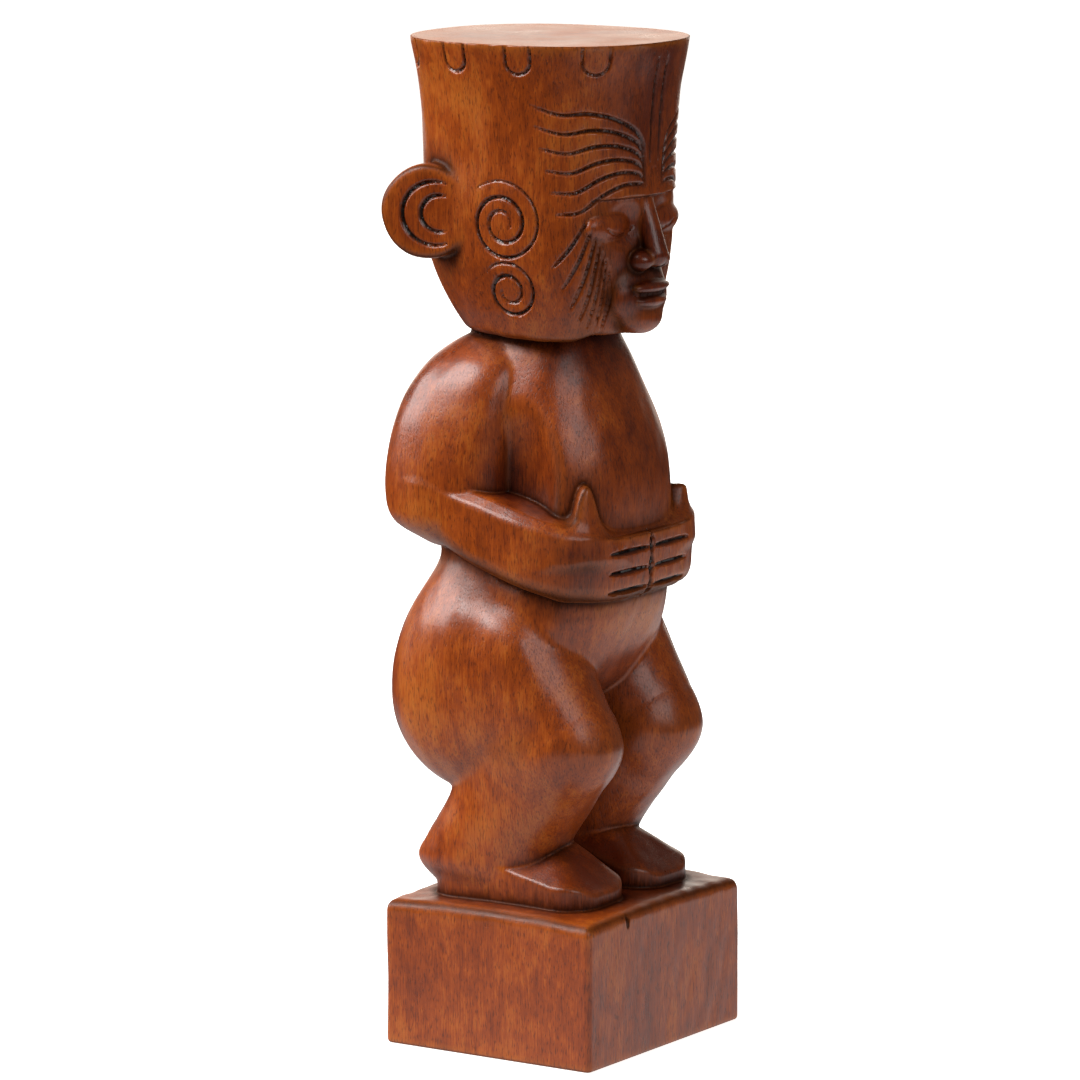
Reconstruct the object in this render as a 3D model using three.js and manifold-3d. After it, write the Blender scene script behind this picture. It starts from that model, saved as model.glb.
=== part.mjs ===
// Tiki statue: a squatting figure with its hands on its belly, carved with its plinth from one block.
// Millimetres, +Z up, the face looks along -Y, and +X is the figure's left.
// The origin is the middle of the plinth's underside.
import * as THREE from "three";
import Module from "manifold-3d";

// Driving sizes
const PLINTH_WIDTH = 84;
const PLINTH_DEPTH = 72.8;
const PLINTH_HEIGHT = 43.6;
const PLINTH_CROWN = 2.4;
const PLINTH_EDGE_ROUND = 1.9;
const PLINTH_CORNER_ROUND = 2;
const FIGURE_HEIGHT = 254.4;
const FOOT_SINK = 0.4;
const SMOOTH_TRIANGLES = 6400;
const CARVED_TRIANGLES = 9000;

// The figure's pose and carving are shares of its height. They are written as they measure on a
// figure DRAWN_HEIGHT tall, with heights above the soles, and SHARE turns them to this figure's size.
const DRAWN_HEIGHT = 254.4;
const SHARE = FIGURE_HEIGHT / DRAWN_HEIGHT;
const SOLE = PLINTH_HEIGHT + PLINTH_CROWN - FOOT_SINK;
const STATUE_HEIGHT = SOLE + FIGURE_HEIGHT;
const CELL = FIGURE_HEIGHT / 190;

const { abs, max, min, sqrt, hypot, pow, sin, cos, PI } = Math;
const wasm = await Module();
wasm.setup();

// Soft joins of distances
const mix = (a, b, t) => a + (b - a) * t;
const clamp = (value, low, high) => max(low, min(high, value));

// Eases from 0 at one value to 1 at another.
function ease(from, to, value) {
  const t = clamp((value - from) / (to - from), 0, 1);
  return t * t * (3 - 2 * t);
}

// The nearer of two distances, with the corner between them filled over the given width.
function join(a, b, width) {
  const h = max(width - abs(a - b), 0) / width;
  return min(a, b) - h * h * width / 4;
}

// The farther of two distances, with the corner rounded over the given width.
function trim(a, b, width) {
  return -join(-a, -b, width);
}

// Primitive forms, as signed distances that are negative inside
function ellipsoid(x, y, z, centre, radii) {
  const dx = (x - centre[0]) / radii[0];
  const dy = (y - centre[1]) / radii[1];
  const dz = (z - centre[2]) / radii[2];
  const k0 = hypot(dx, dy, dz);
  const k1 = hypot(dx / radii[0], dy / radii[1], dz / radii[2]);
  return k1 < 1e-9 ? -min(...radii) : k0 * (k0 - 1) / k1;
}

// A round limb that tapers from one end to the other.
function limb(x, y, z, start, end, startRadius, endRadius) {
  const along = [end[0] - start[0], end[1] - start[1], end[2] - start[2]];
  const from = [x - start[0], y - start[1], z - start[2]];
  const reach = from[0] * along[0] + from[1] * along[1] + from[2] * along[2];
  const t = clamp(reach / (along[0] ** 2 + along[1] ** 2 + along[2] ** 2), 0, 1);
  const off = hypot(from[0] - along[0] * t, from[1] - along[1] * t, from[2] - along[2] * t);
  return off - mix(startRadius, endRadius, t);
}

// A squared oval seen from above, between a front and a back, with corners as full as the power says.
function oval(x, y, middle, halfWidth, front, back, power) {
  const centre = (front + back) / 2;
  const halfDepth = (back - front) / 2;
  const dx = abs(x - middle);
  const dy = abs(y - centre);
  const q = pow(pow(dx / halfWidth, power) + pow(dy / halfDepth, power), 1 / power);
  return q < 1e-6 ? -min(halfWidth, halfDepth) : (q - 1) * hypot(dx, dy) / q * 0.95;
}

// A smooth run of sections: each row has a height and then the section's sizes there.
function sections(rows) {
  return (height) => {
    let i = 0;
    while (i < rows.length - 2 && height > rows[i + 1][0]) {
      i++;
    }
    const before = rows[max(i - 1, 0)];
    const low = rows[i];
    const high = rows[i + 1];
    const after = rows[min(i + 2, rows.length - 1)];
    const span = high[0] - low[0];
    const t = clamp((height - low[0]) / span, 0, 1);
    const sizes = [];
    for (let k = 1; k < low.length; k++) {
      const leaving = (high[k] - before[k]) / (high[0] - before[0]) * span;
      const arriving = (after[k] - low[k]) / (after[0] - low[0]) * span;
      const bend = t * t * (3 - 2 * t);
      sizes.push(mix(low[k], high[k], bend) + leaving * t * (1 - t) ** 2 - arriving * t * t * (1 - t));
    }
    return sizes;
  };
}

// Sections of the block: height, half width, front, back
const headSections = sections([
  [160, 24, -24, 22], [167, 25.5, -27, 27], [176, 28.6, -29, 33.5], [190, 31.3, -31.2, 40],
  [205, 32.5, -31.7, 41.6], [222, 32.8, -31.8, 41.8], [240, 34.2, -33.2, 42.8], [256, 36.9, -35.9, 45.5],
]);
const torsoSections = sections([
  [46, 24, -6, 26], [56, 28, -10, 31], [65, 34, -17.5, 34], [79, 36.2, -24, 36], [91, 34.4, -27, 34.2],
  [100, 32.6, -27.8, 33.4], [110, 33.4, -28.6, 36], [127, 32.6, -28.4, 37.5], [139, 31.2, -25.4, 36.5],
  [151, 27.5, -20.5, 34], [160, 24, -17, 31], [168, 20, -13, 26],
]);
// Height, middle, half width, front, back of the left arm and the left leg
const armSections = sections([
  [101, 20, 6, 16, 26], [105.5, 24, 9.5, 10, 32], [111.5, 27.4, 12.4, 4.6, 39.6], [118, 28, 13, 3, 42.4],
  [132, 27.4, 13, 2.6, 42.2], [147, 24.4, 12.4, 1.5, 39], [159, 19.6, 10.6, 1.5, 32.6], [168, 13, 6, 8, 22],
]);
const shinSections = sections([
  [-1, 17.5, 13.5, -8, 27], [8.5, 18.4, 15.9, -10.5, 36.5], [16, 19.2, 15.6, -12.8, 33],
  [30, 20.4, 15.2, -22.4, 24], [46, 21.4, 15.6, -31.5, 20], [54, 21.4, 15, -30.5, 14],
]);

const CHIN = 166;
const CROWN_TOP = 256;
const BROW = 209.2;
const FACE_INSET = 2.4;
const THUMB_TIP_RIGHT = 126;
const THUMB_TIP_LEFT = 120.4;
const EAR = { centre: [31.6, 26.6, 204], radius: 14, halfThickness: 3.4, turn: 0.32 };

// The head: a tall squared oval that widens to a flat top and overhangs the chest.
function head(x, y, z) {
  const [halfWidth, front, back] = headSections(z);
  const side = oval(x, y, 0, halfWidth, front, back, 2.4);
  const chin = CHIN + 1.6 * ease(-26, 14, y);
  return trim(trim(side, chin - z, 2.5), z - CROWN_TOP, 0.6);
}

// The face: sockets under a straight brow, closed lids, nose, lips and chin in even thirds.
function face(x, y, z, headDistance) {
  const front = ease(24, 13, x) * ease(0, -14, y);
  const between = ease(BROW + 0.5, BROW - 0.5, z);
  const socket = trim(ellipsoid(x, y, z, [12.8, -38, 200.8], [14.8, 12.4, 11.6]), z - BROW, 0.8);
  let d = trim(headDistance + FACE_INSET * front * between, -socket, 1);
  d = join(d, ellipsoid(x, y, z, [13.4, -23.8, 201], [10.8, 3.9, 5.2]), 0.6);
  const bridge = limb(x, y, z, [0, -27.2, 208], [0, -32.2, 191.8], 3, 3.7);
  const wing = ellipsoid(x, y, z, [5, -29.6, 190.3], [3.4, 4, 3]);
  d = join(d, ellipsoid(x, y, z, [0, -26.4, 179.6], [13, 5.3, 9.2]), 3);
  d = join(d, join(bridge, wing, 1.6), 1.2);
  d = join(d, ellipsoid(x, y, z, [0, -30.6, 182.3], [9.2, 2.9, 2]), 0.8);
  d = join(d, ellipsoid(x, y, z, [0, -30.2, 178.2], [8, 3.1, 2.1]), 0.8);
  return join(d, ellipsoid(x, y, z, [0, -27.2, 172.4], [8, 4.4, 4]), 3);
}

// The ear: a thick disc that stands out at the back corner of the head.
function ear(x, y, z) {
  const dx = x - EAR.centre[0];
  const dy = y - EAR.centre[1];
  const across = abs(dx * cos(EAR.turn) - dy * sin(EAR.turn)) - EAR.halfThickness;
  const along = dx * sin(EAR.turn) + dy * cos(EAR.turn);
  return trim(hypot(along, z - EAR.centre[2]) - EAR.radius, across, 2.5);
}

// The trunk, with a hollow between the ribs and the arm and a line down the spine.
function torso(x, y, z) {
  const [halfWidth, front, back] = torsoSections(clamp(z, 46, 168));
  let d = oval(x, y, 0, halfWidth, front, back, 2.6);
  d = trim(d, z - 169, 3);
  d = trim(d, 56 - z, 8);
  d = trim(d, -ellipsoid(x, y, z, [37.5, -5, 127], [12.8, 15.8, 32]), 3);
  return trim(d, -limb(x, y, z, [0, 40.5, 84], [0, 38.5, 148], 4.4, 3.6), 5);
}

// The upper arm, from the shoulder down to the elbow.
function upperArm(x, y, z) {
  const [middle, halfWidth, front, back] = armSections(clamp(z, 101, 168));
  const d = oval(x, y, middle, halfWidth, front, back, 2.2);
  return trim(trim(d, z - 167.5, 3), 104 - z, 7);
}

// The outside of the band that forearm and hand make round the belly.
function bandSide(x, y) {
  return oval(x, y, 0, 40.8, -31.4, 44, 3.3);
}

// Forearm and hand, with a bevel along the upper edge and a flat ledge where it meets the belly.
function forearm(x, y, z) {
  const side = bandSide(x, y);
  const edge = mix(109.6, 123.2, pow(clamp((y + 33) / 52, 0, 1), 1.15));
  const ledge = mix(109.8, 124.4, pow(clamp((y + 29.5) / 42, 0, 1), 0.72));
  const slope = mix(0.05, 1.15, ease(-30, -20, y)) * (1 - 0.6 * ease(4, 20, y));
  const underside = mix(88.6, 107.5, ease(-40, 40, y));
  let d = trim(side + 0.06 * max(0, 104 - z), underside - z, mix(6.5, 17, ease(6, 30, y)));
  d = trim(d, (z - edge + slope * side) / hypot(1, slope), 1);
  d = trim(d, z - ledge, 0.8);
  return trim(d, y - 33, 12);
}

// The thumb: a flame-shaped point that stands up against the belly.
function thumb(x, y, z, tip) {
  const across = abs((x - 25) * 0.76 + (y + 24) * 0.65);
  const below = max(tip - z, 0);
  const halfWidth = 1.3 * sqrt(below + 0.1) + 0.02 * max(0, below - 7) ** 2;
  const face = bandSide(x, y) + 0.5 + 0.12 * across + 0.11 * (z - 108);
  const d = trim((across - halfWidth) * 0.9, face, 2.2);
  return trim(trim(d, z - tip, 1.6), 104 - z, 2);
}

// Buttock, thigh and lower leg, with a web of uncut wood between the two legs.
function leg(x, y, z) {
  const waist = 59.5;
  const hipHeight = 39;
  const hipDrop = 29.6;
  const hipZ = z < waist ? waist + (z - waist) * hipHeight / hipDrop : z;
  const hip = ellipsoid(x, y, hipZ, [19.8, 16.2, waist], [21.5, 29, hipHeight]);
  const thigh = limb(x, y, z, [22.5, 2, 70], [22.4, -15.4, 49.5], 20.4, 15.6);
  const [middle, halfWidth, front, back] = shinSections(clamp(z, -1, 54));
  const shin = trim(oval(x, y, middle, halfWidth, front, back, 2.3), z - 51, 12);
  const upper = trim(join(hip, thigh, 12), x - 41.4, 5);
  const web = max(x - 9, abs(y - 12) - 10, z - 60);
  return join(join(upper, shin, mix(7, 1.8, ease(-8, 8, y))), web, 3);
}

// The foot: a rounded slab whose top falls away to the toes and to both sides.
function foot(x, y, z) {
  const round = 11;
  const dx = abs(x - 17.8) - 15.4 + round;
  const dy = abs(y - 0.65) - 27.85 + round;
  const outline = min(max(dx, dy), 0) + hypot(max(dx, 0), max(dy, 0)) - round;
  const outer = (z - 5.4 - 0.22 * (y + 21.3) - 0.75 * (33 - x)) / 1.27;
  const toes = (z - 5 - 0.86 * (y + 25.4)) / 1.32;
  const inner = (z - 5.2 - 0.35 * (y + 22) - 0.9 * (x - 3)) / 1.38;
  return trim(outline, trim(trim(outer, toes, 3), inner, 3), 0.8);
}

// The whole figure at its drawn size. Its two sides are alike but for the thumbs.
function figure(signedX, y, z) {
  const x = abs(signedX);
  let d = 1e3;
  if (z < 176) {
    const trunk = torso(x, y, z);
    const arm = upperArm(x, y, z);
    d = join(trunk, arm, 1.6);
    if (z > 76 && z < 140) {
      const tip = signedX < 0 ? THUMB_TIP_RIGHT : THUMB_TIP_LEFT;
      const band = join(forearm(x, y, z), thumb(x, y, z, tip), 4);
      d = min(d, join(trunk, band, 0.8), join(arm, band, mix(0.8, 5, ease(15, 27, y))));
    }
    if (z < 110) {
      d = join(d, leg(x, y, z), mix(1.8, 9, ease(0, 16, y)));
    }
    if (z < 40) {
      d = join(d, foot(x, y, z), 0.8);
    }
  }
  if (z > 156) {
    const carvedHead = join(face(x, y, z, head(x, y, z)), ear(x, y, z), 1.6);
    d = join(d, carvedHead, 1.2);
  }
  return d;
}

// The plinth: a block with worn edges and a top that swells a little to the middle.
function plinth(x, y, z) {
  const fall = (2 * x / PLINTH_WIDTH) ** 2 + (2 * y / PLINTH_DEPTH) ** 2;
  const top = PLINTH_HEIGHT + PLINTH_CROWN * (1 - fall / 2);
  const dx = abs(x) - PLINTH_WIDTH / 2 + PLINTH_CORNER_ROUND;
  const dy = abs(y) - PLINTH_DEPTH / 2 + PLINTH_CORNER_ROUND;
  const side = min(max(dx, dy), 0) + hypot(max(dx, 0), max(dy, 0)) - PLINTH_CORNER_ROUND;
  return trim(side, z - top, 2 * PLINTH_EDGE_ROUND);
}

// The uncut statue, running a little past its underside and its flat top.
function statue(x, y, z) {
  const body = SHARE * figure(x / SHARE, y / SHARE, (z - SOLE) / SHARE);
  const whole = z > SOLE + 20 * SHARE ? body : join(body, plinth(x, y, z), 0.8);
  return max(whole, -z - CELL, z - STATUE_HEIGHT - 2 * CELL);
}

// Samples a field on a grid. Blocks that lie well clear of the surface take their middle's value.
function sample(field, low, count, cell) {
  const [nx, ny, nz] = count;
  const values = new Float32Array(nx * ny * nz);
  const block = 4;
  const clear = 2 * block * cell;
  for (let k0 = 0; k0 < nz; k0 += block) {
    for (let j0 = 0; j0 < ny; j0 += block) {
      for (let i0 = 0; i0 < nx; i0 += block) {
        const middle = [i0, j0, k0].map((n, axis) => low[axis] + (n + block / 2) * cell);
        const there = field(...middle);
        for (let k = k0; k < min(k0 + block, nz); k++) {
          for (let j = j0; j < min(j0 + block, ny); j++) {
            for (let i = i0; i < min(i0 + block, nx); i++) {
              const value = abs(there) > clear ? there
                : field(low[0] + i * cell, low[1] + j * cell, low[2] + k * cell);
              values[i + nx * (j + ny * k)] = value;
            }
          }
        }
      }
    }
  }
  return values;
}

// Fills the corners where two bits of surface would meet in a point or along an edge.
function mendCorners(values, count, stride) {
  const touch = -1e-4;
  let mended = true;
  while (mended) {
    mended = false;
    for (let n = 0; n < values.length - stride[0] - stride[1] - stride[2]; n++) {
      for (let axis = 0; axis < 3; axis++) {
        const u = n + stride[(axis + 1) % 3];
        const v = n + stride[(axis + 2) % 3];
        const far = u + v - n;
        const inside = values[n] < 0;
        if (inside === values[far] < 0 && inside !== values[u] < 0 && inside !== values[v] < 0) {
          values[inside ? u : n] = touch;
          mended = true;
        }
      }
    }
  }
}

// Meshing: one vertex for each cell that the surface crosses, and a quad for each crossed edge
function surface(field, low, high, cell) {
  const count = [0, 1, 2].map((k) => Math.ceil((high[k] - low[k]) / cell) + 1);
  const [nx, ny, nz] = count;
  const stride = [1, nx, nx * ny];
  const values = sample(field, low, count, cell);
  mendCorners(values, count, stride);
  const cellVertex = new Int32Array(nx * ny * nz).fill(-1);
  const positions = [];
  for (let k = 0; k < nz - 1; k++) {
    for (let j = 0; j < ny - 1; j++) {
      for (let i = 0; i < nx - 1; i++) {
        const n = i + j * nx + k * nx * ny;
        const point = cellPoint(values, n, stride);
        if (point) {
          cellVertex[n] = positions.length / 3;
          positions.push(low[0] + (i + point[0]) * cell);
          positions.push(low[1] + (j + point[1]) * cell);
          positions.push(low[2] + (k + point[2]) * cell);
        }
      }
    }
  }
  const triangles = [];
  for (let k = 1; k < nz - 1; k++) {
    for (let j = 1; j < ny - 1; j++) {
      for (let i = 1; i < nx - 1; i++) {
        const n = i + j * nx + k * nx * ny;
        for (let axis = 0; axis < 3; axis++) {
          const inside = values[n] < 0;
          if (inside !== values[n + stride[axis]] < 0) {
            const u = stride[(axis + 1) % 3];
            const v = stride[(axis + 2) % 3];
            const quad = [n, n - u, n - u - v, n - v].map((c) => cellVertex[c]);
            const [a, b, c, e] = inside ? quad : quad.reverse();
            triangles.push(a, b, c, a, c, e);
          }
        }
      }
    }
  }
  return { positions, triangles };
}

// The middle of the points where the surface crosses a cell's edges, or null where it crosses none.
function cellPoint(values, n, stride) {
  const sum = [0, 0, 0];
  let crossings = 0;
  for (let axis = 0; axis < 3; axis++) {
    const u = (axis + 1) % 3;
    const v = (axis + 2) % 3;
    for (let side = 0; side < 4; side++) {
      const du = side & 1;
      const dv = side >> 1;
      const start = n + du * stride[u] + dv * stride[v];
      const a = values[start];
      const b = values[start + stride[axis]];
      if (a < 0 !== b < 0) {
        sum[axis] += a / (a - b);
        sum[u] += du;
        sum[v] += dv;
        crossings++;
      }
    }
  }
  return crossings ? sum.map((s) => s / crossings) : null;
}

// Moves each vertex onto the surface along the field's slope.
function settle(field, positions, rounds) {
  const e = CELL / 40;
  for (let n = 0; n < positions.length; n += 3) {
    for (let round = 0; round < rounds; round++) {
      const [x, y, z] = [positions[n], positions[n + 1], positions[n + 2]];
      const value = field(x, y, z);
      const gx = (field(x + e, y, z) - value) / e;
      const gy = (field(x, y + e, z) - value) / e;
      const gz = (field(x, y, z + e) - value) / e;
      const step = clamp(value / max(gx * gx + gy * gy + gz * gz, 0.3), -CELL / 3, CELL / 3);
      positions[n] -= gx * step;
      positions[n + 1] -= gy * step;
      positions[n + 2] -= gz * step;
    }
  }
}

// Thinning: collapses the edge that changes the surface least until few enough triangles are left
function simplify(mesh, wanted) {
  const { positions, triangles } = mesh;
  const vertexCount = positions.length / 3;
  const quadrics = new Float64Array(vertexCount * 10);
  const facesOf = Array.from({ length: vertexCount }, () => new Set());
  const version = new Int32Array(vertexCount);
  const corner = (f, k) => triangles[3 * f + k];
  const place = (v) => [positions[3 * v], positions[3 * v + 1], positions[3 * v + 2]];
  let left = triangles.length / 3;
  for (let f = 0; f < left; f++) {
    const [a, b, c] = [corner(f, 0), corner(f, 1), corner(f, 2)];
    const normal = crossOf(place(a), place(b), place(c));
    const area = hypot(...normal);
    const [nx, ny, nz] = normal.map((part) => part / area);
    const offset = -(nx * positions[3 * a] + ny * positions[3 * a + 1] + nz * positions[3 * a + 2]);
    const plane = [nx * nx, nx * ny, nx * nz, nx * offset, ny * ny, ny * nz, ny * offset,
      nz * nz, nz * offset, offset * offset];
    for (const v of [a, b, c]) {
      facesOf[v].add(f);
      for (let k = 0; k < 10; k++) {
        quadrics[10 * v + k] += plane[k] * area;
      }
    }
  }
  const heap = [];
  const neighboursOf = (v) => {
    const found = new Set();
    for (const f of facesOf[v]) {
      for (let k = 0; k < 3; k++) {
        found.add(corner(f, k));
      }
    }
    found.delete(v);
    return found;
  };
  const offer = (a, b) => {
    const q = Array.from({ length: 10 }, (_, k) => quadrics[10 * a + k] + quadrics[10 * b + k]);
    const target = bestPoint(q, place(a), place(b));
    const span = hypot(positions[3 * a] - positions[3 * b], positions[3 * a + 1] - positions[3 * b + 1],
      positions[3 * a + 2] - positions[3 * b + 2]);
    const cost = quadricCost(q, target) + 1e-5 * span * span;
    heapPush(heap, { cost, a, b, target, stampA: version[a], stampB: version[b] });
  };
  for (let v = 0; v < vertexCount; v++) {
    for (const w of neighboursOf(v)) {
      if (v < w) {
        offer(v, w);
      }
    }
  }
  while (left > wanted && heap.length) {
    const { a, b, target, stampA, stampB } = heapPop(heap);
    if (version[a] !== stampA || version[b] !== stampB) {
      continue;
    }
    const around = neighboursOf(a);
    const shared = [...neighboursOf(b)].filter((v) => around.has(v));
    if (shared.length !== 2 || turnsOver(a, b, target) || turnsOver(b, a, target)) {
      continue;
    }
    for (const f of [...facesOf[b]]) {
      if (facesOf[a].has(f)) {
        for (let k = 0; k < 3; k++) {
          facesOf[corner(f, k)].delete(f);
        }
        left--;
      } else {
        for (let k = 0; k < 3; k++) {
          if (corner(f, k) === b) {
            triangles[3 * f + k] = a;
          }
        }
        facesOf[a].add(f);
      }
    }
    facesOf[b].clear();
    version[b]++;
    version[a]++;
    for (let k = 0; k < 3; k++) {
      positions[3 * a + k] = target[k];
    }
    for (let k = 0; k < 10; k++) {
      quadrics[10 * a + k] += quadrics[10 * b + k];
    }
    for (const w of neighboursOf(a)) {
      offer(a, w);
    }
  }

  // Whether moving a vertex to the target would turn or flatten a face that the collapse keeps.
  function turnsOver(moved, other, target) {
    for (const f of facesOf[moved]) {
      if (facesOf[other].has(f)) {
        continue;
      }
      const before = [0, 1, 2].map((k) => place(corner(f, k)));
      const after = [0, 1, 2].map((k) => (corner(f, k) === moved ? target : before[k]));
      const was = crossOf(...before);
      const is = crossOf(...after);
      const agreement = was[0] * is[0] + was[1] * is[1] + was[2] * is[2];
      if (agreement < 0.35 * hypot(...was) * hypot(...is) || hypot(...is) < 1e-3) {
        return true;
      }
    }
    return false;
  }

  const keptFaces = new Set();
  for (const faces of facesOf) {
    for (const f of faces) {
      keptFaces.add(f);
    }
  }
  const renamed = new Map();
  const out = { positions: [], triangles: [] };
  for (const f of keptFaces) {
    for (let k = 0; k < 3; k++) {
      const v = corner(f, k);
      if (!renamed.has(v)) {
        renamed.set(v, renamed.size);
        out.positions.push(...place(v));
      }
      out.triangles.push(renamed.get(v));
    }
  }
  return out;
}

// The cross product of two sides of a triangle, twice its area long.
function crossOf(a, b, c) {
  const u = [b[0] - a[0], b[1] - a[1], b[2] - a[2]];
  const v = [c[0] - a[0], c[1] - a[1], c[2] - a[2]];
  return [u[1] * v[2] - u[2] * v[1], u[2] * v[0] - u[0] * v[2], u[0] * v[1] - u[1] * v[0]];
}

// The error of a point against the planes that a quadric sums up.
function quadricCost(q, [x, y, z]) {
  return max(0, q[0] * x * x + 2 * q[1] * x * y + 2 * q[2] * x * z + 2 * q[3] * x + q[4] * y * y
    + 2 * q[5] * y * z + 2 * q[6] * y + q[7] * z * z + 2 * q[8] * z + q[9]);
}

// The point of least error, held near the edge's middle where the planes leave it free.
function bestPoint(q, a, b) {
  const middle = [0, 1, 2].map((k) => (a[k] + b[k]) / 2);
  const hold = 1e-3 * (q[0] + q[4] + q[7]) + 1e-9;
  const m = [q[0] + hold, q[1], q[2], q[1], q[4] + hold, q[5], q[2], q[5], q[7] + hold];
  const r = [hold * middle[0] - q[3], hold * middle[1] - q[6], hold * middle[2] - q[8]];
  const c0 = m[4] * m[8] - m[5] * m[7];
  const c1 = m[5] * m[6] - m[3] * m[8];
  const c2 = m[3] * m[7] - m[4] * m[6];
  const det = m[0] * c0 + m[1] * c1 + m[2] * c2;
  return [
    (r[0] * c0 + r[1] * (m[2] * m[7] - m[1] * m[8]) + r[2] * (m[1] * m[5] - m[2] * m[4])) / det,
    (r[0] * c1 + r[1] * (m[0] * m[8] - m[2] * m[6]) + r[2] * (m[2] * m[3] - m[0] * m[5])) / det,
    (r[0] * c2 + r[1] * (m[1] * m[6] - m[0] * m[7]) + r[2] * (m[0] * m[4] - m[1] * m[3])) / det,
  ];
}

function heapPush(heap, item) {
  let i = heap.push(item) - 1;
  while (i > 0) {
    const parent = (i - 1) >> 1;
    if (heap[parent].cost <= item.cost) {
      break;
    }
    heap[i] = heap[parent];
    i = parent;
  }
  heap[i] = item;
}

function heapPop(heap) {
  const top = heap[0];
  const item = heap.pop();
  if (heap.length) {
    let i = 0;
    for (;;) {
      let child = 2 * i + 1;
      if (child >= heap.length) {
        break;
      }
      if (child + 1 < heap.length && heap[child + 1].cost < heap[child].cost) {
        child++;
      }
      if (heap[child].cost >= item.cost) {
        break;
      }
      heap[i] = heap[child];
      i = child;
    }
    heap[i] = item;
  }
  return top;
}

// Solids
function solidOf(positions, triangles) {
  return new wasm.Manifold(new wasm.Mesh({
    numProp: 3,
    vertProperties: Float32Array.from(positions),
    triVerts: Uint32Array.from(triangles),
  }));
}

// A block from below one height to above it, for cutting the statue off flat.
function slab(low, high) {
  const half = 80;
  const positions = [];
  for (const z of [low, high]) {
    positions.push(-half, -half, z, half, -half, z, half, half, z, -half, half, z);
  }
  const triangles = [0, 2, 1, 0, 3, 2, 4, 5, 6, 4, 6, 7];
  for (let i = 0; i < 4; i++) {
    const j = (i + 1) % 4;
    triangles.push(i, j, j + 4, i, j + 4, i + 4);
  }
  return solidOf(positions, triangles);
}

// Carved lines. A place on the head is an angle round it from the face and a height above the soles.
const HEAD_AXIS_Y = 5;
const GROOVE_STEP = 3.2;

// Width and depth of the cuts
const LINE = [1.4, 1];
const SPIRAL_LINE = [1.5, 1.1];
const EAR_LINE = [1.6, 1.2];
const FINGER_CUT = [2.2, 1.7];
const HANDS_CUT = [1.9, 2];

// The point of the figure's surface at a place, found from outside along a level ray.
function onFigure(angle, height) {
  const direction = [sin(angle), -cos(angle)];
  let far = 60;
  for (let round = 0; round < 60; round++) {
    const value = figure(direction[0] * far, HEAD_AXIS_Y + direction[1] * far, height);
    if (value < 0.005) {
      break;
    }
    far -= value * 0.7;
  }
  return new THREE.Vector3(direction[0] * far, HEAD_AXIS_Y + direction[1] * far, height);
}

// The point of the figure's surface level with a place given by its depth and height.
function onSide(side, y, height) {
  let x = 60;
  for (let round = 0; round < 80; round++) {
    const value = figure(x, y, height);
    if (value < 0.005) {
      break;
    }
    x -= value * 0.7;
  }
  return new THREE.Vector3(side * x, y, height);
}

// The outward direction of the figure's surface at a point.
function outward(p) {
  const e = 0.6;
  return new THREE.Vector3(
    figure(p.x + e, p.y, p.z) - figure(p.x - e, p.y, p.z),
    figure(p.x, p.y + e, p.z) - figure(p.x, p.y - e, p.z),
    figure(p.x, p.y, p.z + e) - figure(p.x, p.y, p.z - e),
  ).normalize();
}

// A V-shaped cutter that follows points on the surface and runs out to nothing at its ends.
function groove(points, width, depth) {
  const curve = new THREE.CatmullRomCurve3(points);
  const steps = max(3, Math.round(curve.getLength() / GROOVE_STEP));
  const positions = [];
  const triangles = [];
  for (let i = 0; i <= steps; i++) {
    const t = i / steps;
    const point = curve.getPointAt(t);
    const normal = outward(point);
    point.addScaledVector(normal, -figure(point.x, point.y, point.z));
    const across = new THREE.Vector3().crossVectors(curve.getTangentAt(t), normal).normalize();
    const swell = mix(0.35, 1, pow(sin(PI * clamp(t, 0.001, 0.999)), 0.4));
    const lift = 0.5;
    const reach = width / 2 * swell * (1 + lift / (depth * swell));
    const rim = point.clone().addScaledVector(normal, lift);
    const ring = [
      rim.clone().addScaledVector(across, -reach),
      point.clone().addScaledVector(normal, -depth * swell),
      rim.clone().addScaledVector(across, reach),
    ];
    for (const p of ring) {
      positions.push(p.x * SHARE, p.y * SHARE, p.z * SHARE + SOLE);
    }
    if (i > 0) {
      const a = 3 * (i - 1);
      const b = 3 * i;
      for (let k = 0; k < 3; k++) {
        const m = (k + 1) % 3;
        triangles.push(a + k, a + m, b + m, a + k, b + m, b + k);
      }
    }
  }
  const last = 3 * steps;
  triangles.push(0, 2, 1, last, last + 1, last + 2);
  const solid = solidOf(positions, triangles);
  return solid.volume() > 0 ? solid : solidOf(positions, triangles.reverse());
}

const radians = (degrees) => degrees * PI / 180;
const mirrored = (points) => points.map((p) => new THREE.Vector3(-p.x, p.y, p.z));

// A spiral on the side of the head, from its outer end inwards.
function spiral({ y, height, outer, inner, start, turns }) {
  const points = [];
  const count = Math.round(turns * 12);
  for (let i = 0; i <= count; i++) {
    const t = i / count;
    const radius = inner + (outer - inner) * pow(1 - t, 1.2);
    const angle = radians(start - 360 * turns * t);
    points.push(onSide(1, y - radius * cos(angle), height + radius * sin(angle)));
  }
  return points;
}

const SPIRALS = [
  { y: 0.4, height: 201.9, outer: 13, inner: 2.7, start: 128, turns: 2.45 },
  { y: -0.6, height: 181.6, outer: 9.3, inner: 2.5, start: 147, turns: 1.95 },
];

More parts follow.
